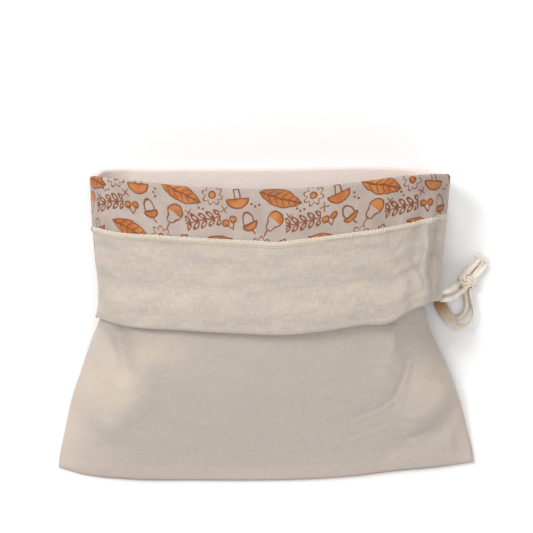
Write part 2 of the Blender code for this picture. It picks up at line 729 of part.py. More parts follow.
def make_tape(name, route, material):
    rings = tape_rings(route)
    count, sides = rings.shape[:2]
    faces = []
    for ring in range(count - 1):
        for side in range(sides):
            after = (side + 1) % sides
            low, high = ring * sides, (ring + 1) * sides
            faces.append([low + side, low + after, high + after, high + side])
    faces.append(list(range(sides))[::-1])
    faces.append([(count - 1) * sides + side for side in range(sides)])
    return make_piece(name, rings.reshape(-1, 3), faces, material)


def knot_point(ring, side):
    """A point of the knot, at one ring from its left end to its right one and one place around that."""
    down = math.pi * ring / KNOT_RINGS
    around = 2 * math.pi * side / KNOT_SIDES
    axis = math.cos(down)
    out = math.sin(down) * math.cos(around)
    up = math.sin(down) * math.sin(around)
    wrap = math.cos(KNOT_TURNS * axis + KNOT_SLANT * out + KNOT_PHASE)
    wrap *= math.cos(KNOT_FADE * up - KNOT_TWIST * axis)
    size = 1 - KNOT_WRAP * max(0.0, wrap) ** 2
    long, wide, tall = (size * part * half for part, half in zip((axis, out, up), KNOT_HALF_SIZES))
    x = KNOT_CENTRE[0] + long * math.cos(KNOT_TURN) - wide * math.sin(KNOT_TURN)
    y = KNOT_CENTRE[1] + long * math.sin(KNOT_TURN) + wide * math.cos(KNOT_TURN)
    return x, y, KNOT_CENTRE[2] + tall


def make_knot(material):
    """The knot: a round lump, longer than it is wide, with grooves between its turns."""
    points = []
    for ring in range(KNOT_RINGS + 1):
        for side in range(KNOT_SIDES if 0 < ring < KNOT_RINGS else 1):
            points.append(knot_point(ring, side))
    faces = []
    last = len(points) - 1
    for side in range(KNOT_SIDES):
        after = (side + 1) % KNOT_SIDES
        faces.append([0, 1 + side, 1 + after])
        for ring in range(KNOT_RINGS - 2):
            low = 1 + ring * KNOT_SIDES
            high = low + KNOT_SIDES
            faces.append([low + side, high + side, high + after, low + after])
        low = 1 + (KNOT_RINGS - 2) * KNOT_SIDES
        faces.append([low + side, last, low + after])
    return make_piece("drawstring_knot", points, faces, material)


def clear_scene():
    for old in list(bpy.data.objects):
        bpy.data.objects.remove(old, do_unlink=True)


def main():
    clear_scene()
    cotton = make_material("natural_cotton", (0.62, 0.55, 0.47), 0.92)
    lining = make_material("waxed_lining", (0.60, 0.48, 0.43), 0.7)
    for side, wall in (("front", Wall(True)), ("rear", Wall(False))):
        make_cloth("cotton_" + side, wall, cotton_path, COTTON, cotton)
        make_cloth("lining_" + side, wall, lining_path, LINING, lining)
    tape = make_material("cotton_tape", (0.66, 0.58, 0.48), 0.9)
    make_tape("drawstring_upper", UPPER_STRAND, tape)
    make_tape("drawstring_lower", LOWER_STRAND, tape)
    make_tape("drawstring_loop", LOOP, tape)
    make_tape("drawstring_tail_left", LEFT_TAIL, tape)
    make_tape("drawstring_tail_right", RIGHT_TAIL, tape)
    make_knot(tape)


main()
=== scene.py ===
"""A beeswax bread bag, lying open on its back: plain cotton, a waxed, printed lining, its top turned down.

X runs across the bag, Y from the bottom seam towards the open mouth, and Z up from the surface below it.
Sizes and tables are in millimetres, as the solids' are. MM turns them into metres, and MIDDLE_Y brings the
bag's middle to the origin.
"""

import math
from collections import namedtuple

import bmesh
import bpy
import numpy as np
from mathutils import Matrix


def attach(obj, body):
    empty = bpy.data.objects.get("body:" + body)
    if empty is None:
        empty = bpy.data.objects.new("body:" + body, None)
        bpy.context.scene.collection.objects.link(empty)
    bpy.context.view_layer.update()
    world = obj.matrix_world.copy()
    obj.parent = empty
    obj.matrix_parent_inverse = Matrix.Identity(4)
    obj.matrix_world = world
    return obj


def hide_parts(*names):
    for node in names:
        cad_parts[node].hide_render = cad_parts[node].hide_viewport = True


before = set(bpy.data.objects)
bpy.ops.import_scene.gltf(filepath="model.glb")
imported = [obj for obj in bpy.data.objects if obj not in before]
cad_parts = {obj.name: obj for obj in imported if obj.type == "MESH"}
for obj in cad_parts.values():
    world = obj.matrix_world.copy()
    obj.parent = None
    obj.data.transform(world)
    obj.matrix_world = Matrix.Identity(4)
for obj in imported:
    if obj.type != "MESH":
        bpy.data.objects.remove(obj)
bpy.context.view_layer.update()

MM = 0.001
MIDDLE_Y = 0.2
Point = namedtuple("Point", "x y")


# Smooth curves and uneven cloth

LATTICE = 97  # the random heights under the cloth's waves repeat after this many
LATTICE_START = Point(31.7, 17.3)  # where the waves' own zero lies on them
CRINKLE_TURN = (0.94, 0.34)  # the cosine and sine of the angle between two sets of sharp creases
CRINKLE_SPREAD = 1.3  # how much further apart the second set's creases lie
CRINKLE_SECOND = 0.1  # how much shallower they are
CRINKLE_FALL = 2.4


def course(*places):
    """The course of a seam, an edge or a crease over the bag, from x and y of each of its points."""
    return tuple(Point(*place) for place in places)


def curve_through(at, knots, values):
    """The height at each place of a smooth curve through the knots."""
    knots = np.asarray(knots, float)
    values = np.asarray(values, float)
    slopes = np.gradient(values, knots)
    at = np.asarray(at, float)
    left = np.clip(np.searchsorted(knots, at) - 1, 0, len(knots) - 2)
    step = knots[left + 1] - knots[left]
    part = np.clip((at - knots[left]) / step, 0.0, 1.0)
    rise = values[left + 1] - values[left]
    straight = values[left] + rise * part * part * (3 - 2 * part)
    slope_in = slopes[left] * step
    slope_out = slopes[left + 1] * step
    return straight + part * (1 - part) * ((1 - part) * slope_in - part * slope_out)


def line_height(line, x):
    """How far along the bag a line lies at each x."""
    return curve_through(x, [p.x for p in line], [p.y for p in line])


def bezier(start, leave, arrive, end, part):
    """Points of a cubic curve, one row for each part of the way."""
    part = part[:, None]
    back = 1 - part
    first_half = back**3 * start + 3 * back**2 * part * leave
    second_half = 3 * back * part**2 * arrive + part**3 * end
    return first_half + second_half


def evenly_spaced(line, count):
    """Points at equal distances along a dense line."""
    steps = np.linalg.norm(np.diff(line, axis=0), axis=1)
    run = np.concatenate([[0.0], np.cumsum(steps)])
    at = np.linspace(0.0, run[-1], count)
    return np.column_stack([np.interp(at, run, column) for column in line.T])


def smooth_step(value):
    value = np.clip(value, 0.0, 1.0)
    return value * value * (3 - 2 * value)


def bump_at(value, width):
    """A soft rise around zero."""
    return np.exp(-((value / width) ** 2))


def distance_to_line(x, y, line):
    """Each point's distance to a line of straight runs, its side of it, and the part of its length there."""
    lengths = [math.dist(a, b) for a, b in zip(line, line[1:])]
    whole = sum(lengths)
    nearest = np.full(x.shape, np.inf)
    side = np.ones(x.shape)
    where = np.zeros(x.shape)
    done = 0.0
    for (start, end), length in zip(zip(line, line[1:]), lengths):
        run_x = (end.x - start.x) / length
        run_y = (end.y - start.y) / length
        along = np.clip((x - start.x) * run_x + (y - start.y) * run_y, 0.0, length)
        away = np.hypot(x - start.x - along * run_x, y - start.y - along * run_y)
        left_of = (x - start.x) * run_y - (y - start.y) * run_x
        closer = away < nearest
        nearest = np.where(closer, away, nearest)
        side = np.where(closer, np.sign(left_of), side)
        where = np.where(closer, (done + along) / whole, where)
        done += length
    return nearest, side, where


def ripples(u, v, wide, tall, seed):
    """Uneven waves from -1 to 1 whose crests lie about wide and tall apart."""
    lattice = np.random.default_rng(seed).uniform(-1.0, 1.0, (LATTICE, LATTICE))
    x = np.asarray(u) / wide + LATTICE_START.x
    y = np.asarray(v) / tall + LATTICE_START.y
    i = np.floor(x).astype(int)
    j = np.floor(y).astype(int)
    f = smooth_step(x - i)
    g = smooth_step(y - j)

    def row(at):
        at = at % LATTICE
        return lattice[i % LATTICE, at] * (1 - f) + lattice[(i + 1) % LATTICE, at] * f

    return row(j) * (1 - g) + row(j + 1) * g


def crinkles(u, v, wide, tall, seed):
    """Uneven sharp creases about wide and tall apart, from -1 in the flats to 1 on the creases."""
    cosine, sine = CRINKLE_TURN
    turned = (u * cosine + v * sine, v * cosine - u * sine)
    first = np.abs(ripples(u, v, wide, tall, seed))
    second = np.abs(ripples(*turned, wide * CRINKLE_SPREAD, tall * CRINKLE_SPREAD, seed + 1))
    return 1 - CRINKLE_FALL * np.minimum(np.sqrt(first), np.sqrt(second) + CRINKLE_SECOND)


# The camera looks straight down, as in the photograph

PIXEL = 0.85  # the width of one of its 533 pixels on the surface
PICTURE = 533
CAMERA_HEIGHT = 1900
CAMERA_Y = 48.6 - MIDDLE_Y
SENSOR = 36


def linked(name, data):
    """A new object in the scene."""
    made = bpy.data.objects.new(name, data)
    bpy.context.scene.collection.objects.link(made)
    return made


def make_camera():
    """A camera above the bag that frames it as the photograph does."""
    data = bpy.data.cameras.new("camera")
    data.sensor_width = SENSOR
    data.lens = SENSOR * CAMERA_HEIGHT / (PIXEL * PICTURE)
    camera = linked("camera", data)
    camera.location = (0.0, CAMERA_Y * MM, CAMERA_HEIGHT * MM)
    bpy.context.scene.camera = camera


# Materials, built from nodes

class Paint:
    """A material in the making, with short ways to add its nodes."""

    def __init__(self, name):
        self.material = bpy.data.materials.new(name)
        self.material.use_nodes = True
        self.tree = self.material.node_tree
        self.shader = self.tree.nodes["Principled BSDF"]

    def node(self, kind, inputs=None, **settings):
        made = self.tree.nodes.new("ShaderNode" + kind)
        for key, value in settings.items():
            setattr(made, key, value)
        for key, value in (inputs or {}).items():
            self.put(value, made.inputs[key])
        return made

    def put(self, value, socket):
        if isinstance(value, Field):
            value = value.socket
        if isinstance(value, bpy.types.NodeSocket):
            self.tree.links.new(value, socket)
        else:
            socket.default_value = value

    def field(self, socket):
        return Field(self, socket)

    def uv(self):
        """The place in the flat cloth, as across and along fields in millimetres."""
        place = self.node("UVMap", uv_map="cloth")
        parts = self.node("SeparateXYZ", {0: place.outputs[0]})
        return self.field(parts.outputs[0]) * 1000.0, self.field(parts.outputs[1]) * 1000.0

    def noise(self, across, along, size, seed, detail=2.0, roughness=0.5):
        """Soft uneven spots from 0 to 1, size apart, or two sizes apart across and along."""
        wide, tall = size if isinstance(size, tuple) else (size, size)
        place = self.node("CombineXYZ", {0: across / wide, 1: along / tall, 2: float(seed)})
        made = self.node(
            "TexNoise",
            {"Vector": place.outputs[0], "Scale": 1.0, "Detail": detail, "Roughness": roughness},
        )
        return self.field(made.outputs["Fac"])

    def attribute(self, name):
        return self.field(self.node("Attribute", attribute_name=name).outputs["Fac"])

    def mix(self, share, first, second):
        made = self.node("Mix", data_type="RGBA")
        self.put(share, made.inputs["Factor"])
        self.put(first, made.inputs["A"])
        self.put(second, made.inputs["B"])
        return made.outputs["Result"]

    def bump(self, height, distance, strength, under=None):
        """Relief from a height, its distance in metres, on top of the relief under it."""
        made = self.node("Bump", {"Strength": strength, "Distance": distance, "Height": height})
        if under is not None:
            self.put(under, made.inputs["Normal"])
        return made.outputs[0]

    def dress(self, looks):
        """Gives the shader its looks. Returns the finished material."""
        for name, value in looks.items():
            self.put(value, self.shader.inputs[name])
        return self.material


class Field:
    """A number that varies over the cloth. Sums and products of fields become nodes."""

    def __init__(self, paint, socket):
        self.paint = paint
        self.socket = socket

    def step(self, operation, *others):
        made = self.paint.tree.nodes.new("ShaderNodeMath")
        made.operation = operation
        for socket, value in zip(made.inputs, (self, *others)):
            self.paint.put(value, socket)
        return Field(self.paint, made.outputs[0])

    def __add__(self, other):
        return self.step("ADD", other)

    def __sub__(self, other):
        return self.step("SUBTRACT", other)

    def __mul__(self, other):
        return self.step("MULTIPLY", other)

    def __truediv__(self, other):
        return self.step("DIVIDE", other)

    def __neg__(self):
        return self * -1.0

    def size(self):
        return self.step("ABSOLUTE")

    def lower(self, other):
        return self.step("MINIMUM", other)

    def higher(self, other):
        return self.step("MAXIMUM", other)

    def within(self, low, high):
        """0 up to low, 1 from high on, and straight between."""
        made = self.paint.node("MapRange", {"From Min": low, "From Max": high}, clamp=True)
        self.paint.put(self, made.inputs["Value"])
        return Field(self.paint, made.outputs[0])


def colour(red, green, blue):
    """A colour as it shows on a screen, from 0 to 255, as the shader takes it."""
    return (*(((part / 255 + 0.055) / 1.055) ** 2.4 for part in (red, green, blue)), 1.0)


BODY_LIGHT = colour(190, 178, 167)
BODY_DEEP = colour(174, 165, 157)
FACING_LIGHT = colour(190, 177, 162)
FACING_DEEP = colour(172, 163, 154)
COTTON_WARM = colour(196, 178, 167)
# Painted light: the lighter, creamier colour of the body's lit patches.
BODY_PAINTED_LIGHT = colour(210, 193, 170)
NEP = colour(148, 130, 108)
PRINT_GROUND = colour(176, 160, 150)
PRINT_SHADE = colour(162, 145, 136)
PRINT_BARE = colour(222, 208, 199)
PRINT_FILL = colour(170, 90, 30)
PRINT_FILL_PALE = colour(180, 116, 54)
PRINT_FILL_DULL = colour(132, 94, 60)
PRINT_LINE = colour(118, 62, 22)
THREAD_LIGHT = colour(224, 216, 202)
THREAD_DEEP = colour(202, 193, 177)
# Painted shade: the darker colour of the bed under the stitches, for the shade that they cast on it.
THREAD_SHADED_BED = colour(186, 175, 157)
TAPE_LIGHT = colour(252, 245, 235)
TAPE_DEEP = colour(222, 207, 188)
TAPE_SHADED = colour(154, 116, 70)
WEAVE = 0.55  # from one thread of the cloth to the next
SLUB = (8.0, 0.9)  # the length and width of a thread's thicker places
Contrast = namedtuple("Contrast", "slubs clouds")
BODY_CONTRAST = Contrast(2.0, 0.5)
FACING_MORE = Contrast(1.6, 1.1)  # what the turned-down facing adds to the body's
EDGE_WORN = 0.55  # how much of the warmer tone the cloth takes on beside its seams
NEP_SHARE = 0.35


def weave_height(across, along, pitch):
    """The over and under of a plain weave, from 0 to 1."""
    over = (across * (math.pi / pitch)).step("SINE")
    under = (along * (math.pi / pitch)).step("SINE")
    return over * under * 0.5 + 0.5


def cotton_material():
    """Undyed plain cotton: threads of uneven thickness, a few neps, and soft creases finer than the mesh."""
    paint = Paint("natural_cotton")
    across, along = paint.uv()
    facing = paint.attribute("facing")
    weft = paint.noise(across, along, SLUB, 3)
    warp = paint.noise(across, along, SLUB[::-1], 5)
    slubs = weft * 0.5 + warp * 0.5
    cloudy = paint.noise(across, along, (30.0, 13.0), 7, detail=3.0)
    slub_tone = (slubs - 0.5) * (facing * FACING_MORE.slubs + BODY_CONTRAST.slubs)
    cloud_tone = (cloudy - 0.5) * (facing * FACING_MORE.clouds + BODY_CONTRAST.clouds)
    tone = (slub_tone + cloud_tone + 0.5).within(0.1, 0.9)
    turned = paint.mix(tone, FACING_DEEP, FACING_LIGHT)
    # Painted light: the body takes a lighter, creamier colour in the patches where the light falls brightest.
    body = paint.mix(paint.attribute("painted_light"), paint.mix(tone, BODY_DEEP, BODY_LIGHT), BODY_PAINTED_LIGHT)
    worn = paint.attribute("edge") * (cloudy * 0.8 + 0.3)
    base = paint.mix(worn * EDGE_WORN, paint.mix(facing, body, turned), COTTON_WARM)
    neps = paint.noise(across, along, 1.7, 11, detail=0.0).within(0.83, 0.86)
    crumple = paint.noise(across, along, (13.0, 6.0), 13, detail=3.5, roughness=0.6)
    ground = paint.bump(crumple, distance=0.0012, strength=0.55)
    ground = paint.bump(slubs, distance=0.00034, strength=0.7, under=ground)
    weave = weave_height(across, along, WEAVE)
    return paint.dress({
        "Base Color": paint.mix(neps * NEP_SHARE, base, NEP),
        "Normal": paint.bump(weave, distance=0.00008, strength=0.5, under=ground),
        "Roughness": 0.93,
        "Specular IOR Level": 0.25,
        "Sheen Weight": 0.18,
        "Sheen Roughness": 0.5,
    })


# The waxed lining's print: leaves, daisies, toadstools, pears and sprigs, strewn in staggered rows

REPEAT_WIDE = 84.0
REPEAT_TALL = 40.0
MOTIF_SIZE = 1.25
LINE = 0.46  # half the width of a drawn line, before the motif's size
WOBBLE = 2.2  # how far the print wanders from its rows
LINING_SLUB = (6.0, 0.5)
UNFILLED = 50.0  # added to a distance, so that nothing of a motif is filled
Motif = namedtuple("Motif", "shape x y lean play")


def motif_place(paint, across, along, motif, seed):
    """The place in one motif's own frame, which is turned by a chance angle in each repeat."""
    row = (along / REPEAT_TALL - motif.y / REPEAT_TALL + 0.5).step("FLOOR")
    stagger = row.step("MODULO", 2.0).size() * (REPEAT_WIDE / 2)
    shifted = across + stagger - motif.x
    column = (shifted / REPEAT_WIDE + 0.5).step("FLOOR")
    x = shifted - column * REPEAT_WIDE
    y = along - row * REPEAT_TALL - motif.y
    cell = paint.node("CombineXYZ", {0: row, 1: column, 2: float(seed)})
    chance = paint.node("TexWhiteNoise", {"Vector": cell.outputs[0]}, noise_dimensions="3D")
    angle = (Field(paint, chance.outputs["Value"]) - 0.5) * (2 * motif.play) + motif.lean
    turn_x = angle.step("COSINE")
    turn_y = angle.step("SINE")
    return (x * turn_x + y * turn_y) / MOTIF_SIZE, (y * turn_x - x * turn_y) / MOTIF_SIZE


def ellipse(x, y, wide, tall):
    """Roughly the distance to an ellipse's edge, negative inside."""
    reach = ((x / wide) * (x / wide) + (y / tall) * (y / tall)).step("SQRT")
    return (reach - 1.0) * min(wide, tall)


def leaf(x, y):
    """A long pointed leaf with a midrib and side veins."""
    edge = y.size() - (-(x * x) / 38.0 + 5.6)
    rib = y.size() - 0.15
    slanted = (x - y.size() * 0.9).step("PINGPONG", 2.3)
    veins = slanted.higher(edge + 1.4)
    return edge, edge.size().lower(rib.higher(edge)).lower(veins.higher(edge))


def daisy(x, y):
    """Eight rounded petals around a filled eye."""
    reach = (x * x + y * y).step("SQRT")
    angle = y.step("ARCTAN2", x)
    petals = reach - (angle * 4.0).step("COSINE").size() * 2.6 - 4.2
    eye = reach - 2.1
    return eye, petals.size().lower(eye.size())


def toadstool(x, y):
    """A domed cap, filled, on a plain stem."""
    cap = ellipse(x, y, 7.2, 6.0).higher(-y)
    stem = (x.size() - 1.9).higher(y.size() - 6.2).higher(y)
    return cap, cap.size().lower(stem.size().higher(y + 0.2))


def pear(x, y):
    """A pear with its lower part filled."""
    body = (x * x + (y + 2.4) * (y + 2.4)).step("SQRT") - 5.0
    neck = (x * x + (y - 3.6) * (y - 3.6)).step("SQRT") - 2.6
    whole = body.step("SMOOTH_MIN", neck, 3.4)
    stalk = (x - y * 0.15 + 0.8).size().higher((y - 8.0).size() - 2.2)
    return whole.higher(y + 1.2), whole.size().lower(stalk)


def sprig(x, y):
    """A stem with pairs of small leaves, drawn in line."""
    stem = y.size().higher(x.size() - 12.0)
    step = (x / 5.4 - 0.5).step("FRACT") * 5.4 - 2.7
    high = y.size() - 2.7
    bud_x = step * 0.72 + high * 0.69
    bud_y = high * 0.72 - step * 0.69
    buds = ellipse(bud_x, bud_y, 2.4, 1.15).higher(x.size() - 11.4)
    return buds + UNFILLED, stem.lower(buds.size())


def acorn(x, y):
    """An acorn: a filled cup, a plain nut and a short stalk."""
    nut = ellipse(x, y + 1.6, 3.4, 5.4).higher(y - 1.0)
    cup = ellipse(x, y - 1.4, 4.6, 3.4).higher(-(y - 0.6))
    stalk = (x - (y - 4.6) * 0.3).size().higher((y - 6.0).size() - 1.8)
    return cup, cup.size().lower(nut.size()).lower(stalk)


def berries(x, y):
    """Two berries, filled, on forked stalks."""
    side = x.size() - 2.7
    low = y + 1.6
    fruit = (side * side + low * low).step("SQRT") - 2.1
    stalk = (x.size() + y * 0.6 - 2.6).size().higher((y - 2.0).size() - 2.4)
    return fruit, fruit.size().lower(stalk)


def dots(x, y):
    """Three dots in a row, the middle one raised."""
    step = x.size() - 2.6
    side = (step * step + y * y).step("SQRT")
    top = (x * x + (y - 1.3) * (y - 1.3)).step("SQRT")
    return side + UNFILLED, side.lower(top) - 0.35


def seed_star(x, y):
    """A small star of four strokes."""
    reach = (x * x + y * y).step("SQRT") - 2.6
    strokes = x.size().lower(y.size()) + 0.1
    return reach + UNFILLED, strokes.higher(reach)


PRINT_MOTIFS = (
    Motif(leaf, 17, 9, 0.35, 0.1),
    Motif(daisy, 44, 8, 0.0, 3.0),
    Motif(toadstool, 65, 10, -0.2, 0.25),
    Motif(pear, 12, 28, 0.5, 0.25),
    Motif(sprig, 37, 29, 2.9, 0.12),
    Motif(berries, 60, 30, 0.0, 0.5),
    Motif(acorn, 76, 29, -0.5, 0.4),
    Motif(dots, 34, 18, 0.0, 3.0),
    Motif(dots, 80, 14, 0.0, 3.0),
    Motif(seed_star, 54, 19, 0.0, 3.0),
    Motif(seed_star, 25, 24, 0.0, 3.0),
)


def print_fields(paint, across, along):
    """The distance into the filled parts and to the drawn lines of the whole print."""
    wobble_x = paint.noise(across, along, 7.0, 21, detail=1.0) - 0.5
    wobble_y = paint.noise(across, along, 7.0, 22, detail=1.0) - 0.5
    across = across + wobble_x * WOBBLE
    along = along + wobble_y * WOBBLE
    filled = drawn = None
    for seed, motif in enumerate(PRINT_MOTIFS):
        fill, line = motif.shape(*motif_place(paint, across, along, motif, seed))
        filled = fill if filled is None else filled.lower(fill)
        drawn = line if drawn is None else drawn.lower(line)
    return filled, drawn


def lining_material():
    """Waxed cotton with its print: a faint sheen, and a skin of wax that is thicker in patches."""
    paint = Paint("waxed_lining")
    across, along = paint.uv()
    cloudy = paint.noise(across, along, 22.0, 31, detail=3.0)
    weft = paint.noise(across, along, LINING_SLUB, 32)
    warp = paint.noise(across, along, LINING_SLUB[::-1], 33)
    threads = weft * 0.5 + warp * 0.5
    base = paint.mix((cloudy + (threads - 0.5) * 0.5).within(0.36, 0.66), PRINT_SHADE, PRINT_GROUND)
    filled, drawn = print_fields(paint, across, along)
    inked = paint.attribute("printed")
    base = paint.mix(inked, PRINT_BARE, base)
    rubbed = paint.noise(across, along, 2.6, 34).within(0.2, 0.5) * 0.25 + 0.75
    hue = paint.mix(paint.noise(across, along, 16.0, 35).within(0.40, 0.62), PRINT_FILL, PRINT_FILL_PALE)
    hue = paint.mix(paint.noise(across, along, 18.0, 37).within(0.58, 0.66), hue, PRINT_FILL_DULL)
    base = paint.mix((-filled).within(-0.15, 0.15) * rubbed * inked, base, hue)
    line = (-(drawn - LINE)).within(-0.18, 0.18)
    crumple = paint.noise(across, along, (11.0, 8.0), 36, detail=3.0)
    ground = paint.bump(crumple, distance=0.0009, strength=0.5)
    ground = paint.bump(threads, distance=0.00016, strength=0.5, under=ground)
    weave = weave_height(across, along, WEAVE)
    return paint.dress({
        "Base Color": paint.mix(line * rubbed * inked, base, PRINT_LINE),
        "Normal": paint.bump(weave, distance=0.00006, strength=0.4, under=ground),
        "Roughness": cloudy.within(0.3, 0.7) * 0.2 + 0.52,
        "Specular IOR Level": 0.4,
        "Coat Weight": 0.05,
        "Coat Roughness": 0.45,
    })


def tape_material():
    """Narrow woven cotton tape: ribs across it and firmer edges."""
    paint = Paint("cotton_tape")
    across, along = paint.uv()
    ribs = ((along + across.size() * 0.6) * (math.pi / 0.8)).step("SINE") * 0.5 + 0.5
    threads = paint.noise(across, along, (0.5, 5.0), 41)
    tone = threads * 0.7 + paint.noise(across, along, 8.0, 42) * 0.5 + ribs * 0.08
    base = paint.mix(tone.within(0.38, 0.84), TAPE_DEEP, TAPE_LIGHT)
    rumples = paint.noise(across, along, (1.8, 6.0), 43, detail=3.0)
    ground = paint.bump(rumples, distance=0.0009, strength=0.6)
    ground = paint.bump(threads, distance=0.00025, strength=0.6, under=ground)
    return paint.dress({
        "Base Color": paint.mix(paint.attribute("shaded"), base, TAPE_SHADED),
        "Normal": paint.bump(ribs, distance=0.00016, strength=0.6, under=ground),
        "Roughness": 0.88,
        "Sheen Weight": 0.2,
    })


def thread_material():
    """Cream sewing thread."""
    paint = Paint("cream_thread")
    place = paint.node("TexCoord")
    spots = paint.node("TexNoise", {"Vector": place.outputs["Object"], "Scale": 900.0, "Detail": 2.0})
    spots = paint.field(spots.outputs["Fac"])
    base = paint.mix(spots.within(0.35, 0.65), THREAD_DEEP, THREAD_LIGHT)
    return paint.dress({
        # Painted shade: the bed under the stitches is darker.
        "Base Color": paint.mix(paint.attribute("under"), base, THREAD_SHADED_BED),
        "Normal": paint.bump(spots, distance=0.0002, strength=0.5),
        "Roughness": 0.8,
        "Sheen Weight": 0.25,
    })


# The drawstring: one flat tape, rolled along its length where it is pulled tight

TAPE_WIDTH = 10.5
TAPE_THICK = 0.8
TAPE_STEP = 1.0
TAPE_FACETS = 15
Tape = namedtuple("Tape", "x y z width thick across")
UPRIGHT = (0.0, 0.0, 1.0)
UPPER_STRAND = (
    Tape(145.2, 27.3, 28.2, 2.4, 1.4, (0.0, 0.7, 0.7)),
    Tape(148.4, 27.5, 27.5, 3.4, 2.6, (0.0, 0.7, 0.7)),
    Tape(152.2, 28.2, 25.6, 3.8, 2.6, (0.0, 0.8, 0.6)),
    Tape(156.0, 29.8, 21.0, 4.0, 2.6, (-0.3, 0.9, 0.4)),
    Tape(159.2, 32.0, 15.6, 4.0, 2.6, (-0.5, 0.9, 0.3)),
    Tape(162.6, 34.4, 11.0, 3.8, 2.6, (-0.5, 0.8, 0.2)),
    Tape(166.6, 38.6, 8.0, 4.0, 2.4, (0.3, 0.5, 0.4)),
    Tape(169.6, 43.4, 6.2, 5.0, 3.0, (0.63, -0.52, 0.57)),
    Tape(172.4, 47.6, 5.2, 5.6, 3.0, (0.63, -0.52, 0.57)),
    Tape(176.0, 52.0, 4.2, 6.0, 2.8, (0.65, -0.56, 0.5)),
    Tape(179.2, 55.8, 3.6, 5.8, 2.6, (0.67, -0.58, 0.45)),
)
LOWER_STRAND = (
    Tape(145.6, 20.4, 25.6, 2.4, 1.4, (0.0, 0.7, 0.7)),
    Tape(149.0, 20.8, 24.4, 3.8, 3.0, (0.0, 0.7, 0.7)),
    Tape(153.0, 21.4, 21.6, 4.2, 3.0, (-0.2, 0.8, 0.6)),
    Tape(157.6, 23.0, 16.4, 4.2, 3.0, (-0.3, 0.8, 0.5)),
    Tape(162.4, 25.6, 12.4, 4.0, 2.8, (-0.4, 0.8, 0.4)),
    Tape(166.0, 28.2, 10.8, 3.8, 2.8, (-0.4, 0.8, 0.3)),
    Tape(168.2, 30.4, 10.6, 3.6, 2.8, (-0.5, 0.8, 0.3)),
    Tape(172.0, 35.2, 8.0, 4.0, 2.4, (0.3, 0.4, 0.4)),
    Tape(175.2, 39.3, 5.6, 5.2, 3.0, (0.7, -0.6, 0.4)),
    Tape(179.2, 44.0, 4.4, 6.0, 3.0, (0.7, -0.6, 0.38)),
    Tape(182.6, 48.0, 3.6, 6.4, 2.6, (0.7, -0.6, 0.36)),
    Tape(185.6, 51.4, 3.1, 6.0, 2.4, (0.72, -0.62, 0.3)),
)
LOOP = (
    Tape(172.0, 30.2, 6.0, 6.5, 2.0, UPRIGHT),
    Tape(172.8, 23.0, 6.0, 8.5, 1.9, UPRIGHT),
    Tape(173.9, 17.2, 6.0, 10.0, 1.7, UPRIGHT),
    Tape(175.1, 11.6, 6.1, 10.4, 1.5, UPRIGHT),
    Tape(174.9, 6.4, 6.0, 10.4, 1.4, UPRIGHT),
    Tape(172.6, 1.8, 6.0, 10.4, 1.4, UPRIGHT),
    Tape(168.8, -1.2, 6.0, 10.4, 1.4, (0.15, -0.2, 0.96)),
    Tape(164.4, -2.0, 6.0, 10.4, 1.4, (0.0, -0.38, 0.92)),
    Tape(160.2, -0.8, 6.8, 10.4, 1.4, (-0.35, -0.62, 0.7)),
    Tape(156.8, 2.0, 7.6, 10.4, 1.4, (-0.6, -0.62, 0.5)),
    Tape(153.4, 6.4, 7.8, 10.4, 1.4, (-0.76, -0.56, 0.34)),
    Tape(149.8, 11.4, 8.4, 10.4, 1.4, (-0.83, -0.52, 0.18)),
    Tape(147.2, 16.2, 8.8, 10.2, 1.4, (-0.94, -0.3, 0.06)),
    Tape(146.6, 20.4, 8.2, 9.4, 1.5, (-1.0, 0.0, 0.0)),
    Tape(146.4, 22.6, 5.6, 7.0, 1.8, (-1.0, 0.0, 0.0)),
    Tape(146.8, 20.4, 2.9, 5.2, 2.2, (-1.0, 0.0, 0.0)),
    Tape(148.8, 14.6, 1.9, 4.2, 2.4, (-0.9, -0.4, 0.0)),
    Tape(152.6, 8.6, 1.8, 4.0, 2.6, (-0.8, -0.6, 0.0)),
    Tape(157.0, 5.4, 1.7, 4.0, 2.6, (-0.6, -0.8, 0.0)),
    Tape(162.0, 5.0, 1.6, 4.0, 2.5, (0.1, -1.0, 0.0)),
    Tape(166.2, 7.4, 1.9, 3.8, 2.6, (0.6, -0.8, 0.2)),
    Tape(168.9, 11.6, 2.6, 3.8, 2.6, (0.9, -0.3, 0.5)),
    Tape(169.8, 16.6, 3.4, 3.8, 2.6, (0.9, 0.0, 0.6)),
    Tape(169.0, 22.6, 4.0, 3.8, 2.6, (0.9, 0.1, 0.6)),
    Tape(167.8, 30.0, 4.6, 3.6, 2.6, (0.9, 0.2, 0.5)),
)
KNOT_CENTRE = (169.3, 36.4, 7.2)
KNOT_HALF_SIZES = (9.3, 6.3, 6.4)
KNOT_TURN = math.radians(-33.5)
KNOT_TAPE = (3.1, 2.5)  # half the width and thickness of the tape bunched in the knot
KNOT_MARGINS = (3.1, 2.48, 2.5)  # how far inside the knot's size the middle of its tape stays
KNOT_CLOTH = (0.8, 11)  # the flat tape's width that one facet takes up, and its length for one radian
KNOT_STEPS = 150
KNOT_FACETS = 20
QUARTER = math.pi / 2
Wave = namedtuple("Wave", "depth along around start")
KNOT_CRUMPLES = (Wave(0.17, 0, 5, QUARTER), Wave(0.1, 17, 2, QUARTER), Wave(0.07, 29, -3, QUARTER))
KNOT_SHADE_AROUND = Wave(0.5, 0, 5, 0)  # the darker places of its tape
KNOT_SHADE_ALONG = Wave(0.1, 13, 0, 0)
FLUTTER = (Wave(0.02, 0.9, 0, 0), Wave(0.03, 0.37, 0, 1))  # how unevenly wide the tape shows
RUMPLES = (Wave(0.22, 1.9, 1.3, 0), Wave(0.22, 0.8, -2.1, 1))  # how a tail's face is crumpled
RUMPLE_ELSEWHERE = 0.3
TAIL_REACH = 15.0
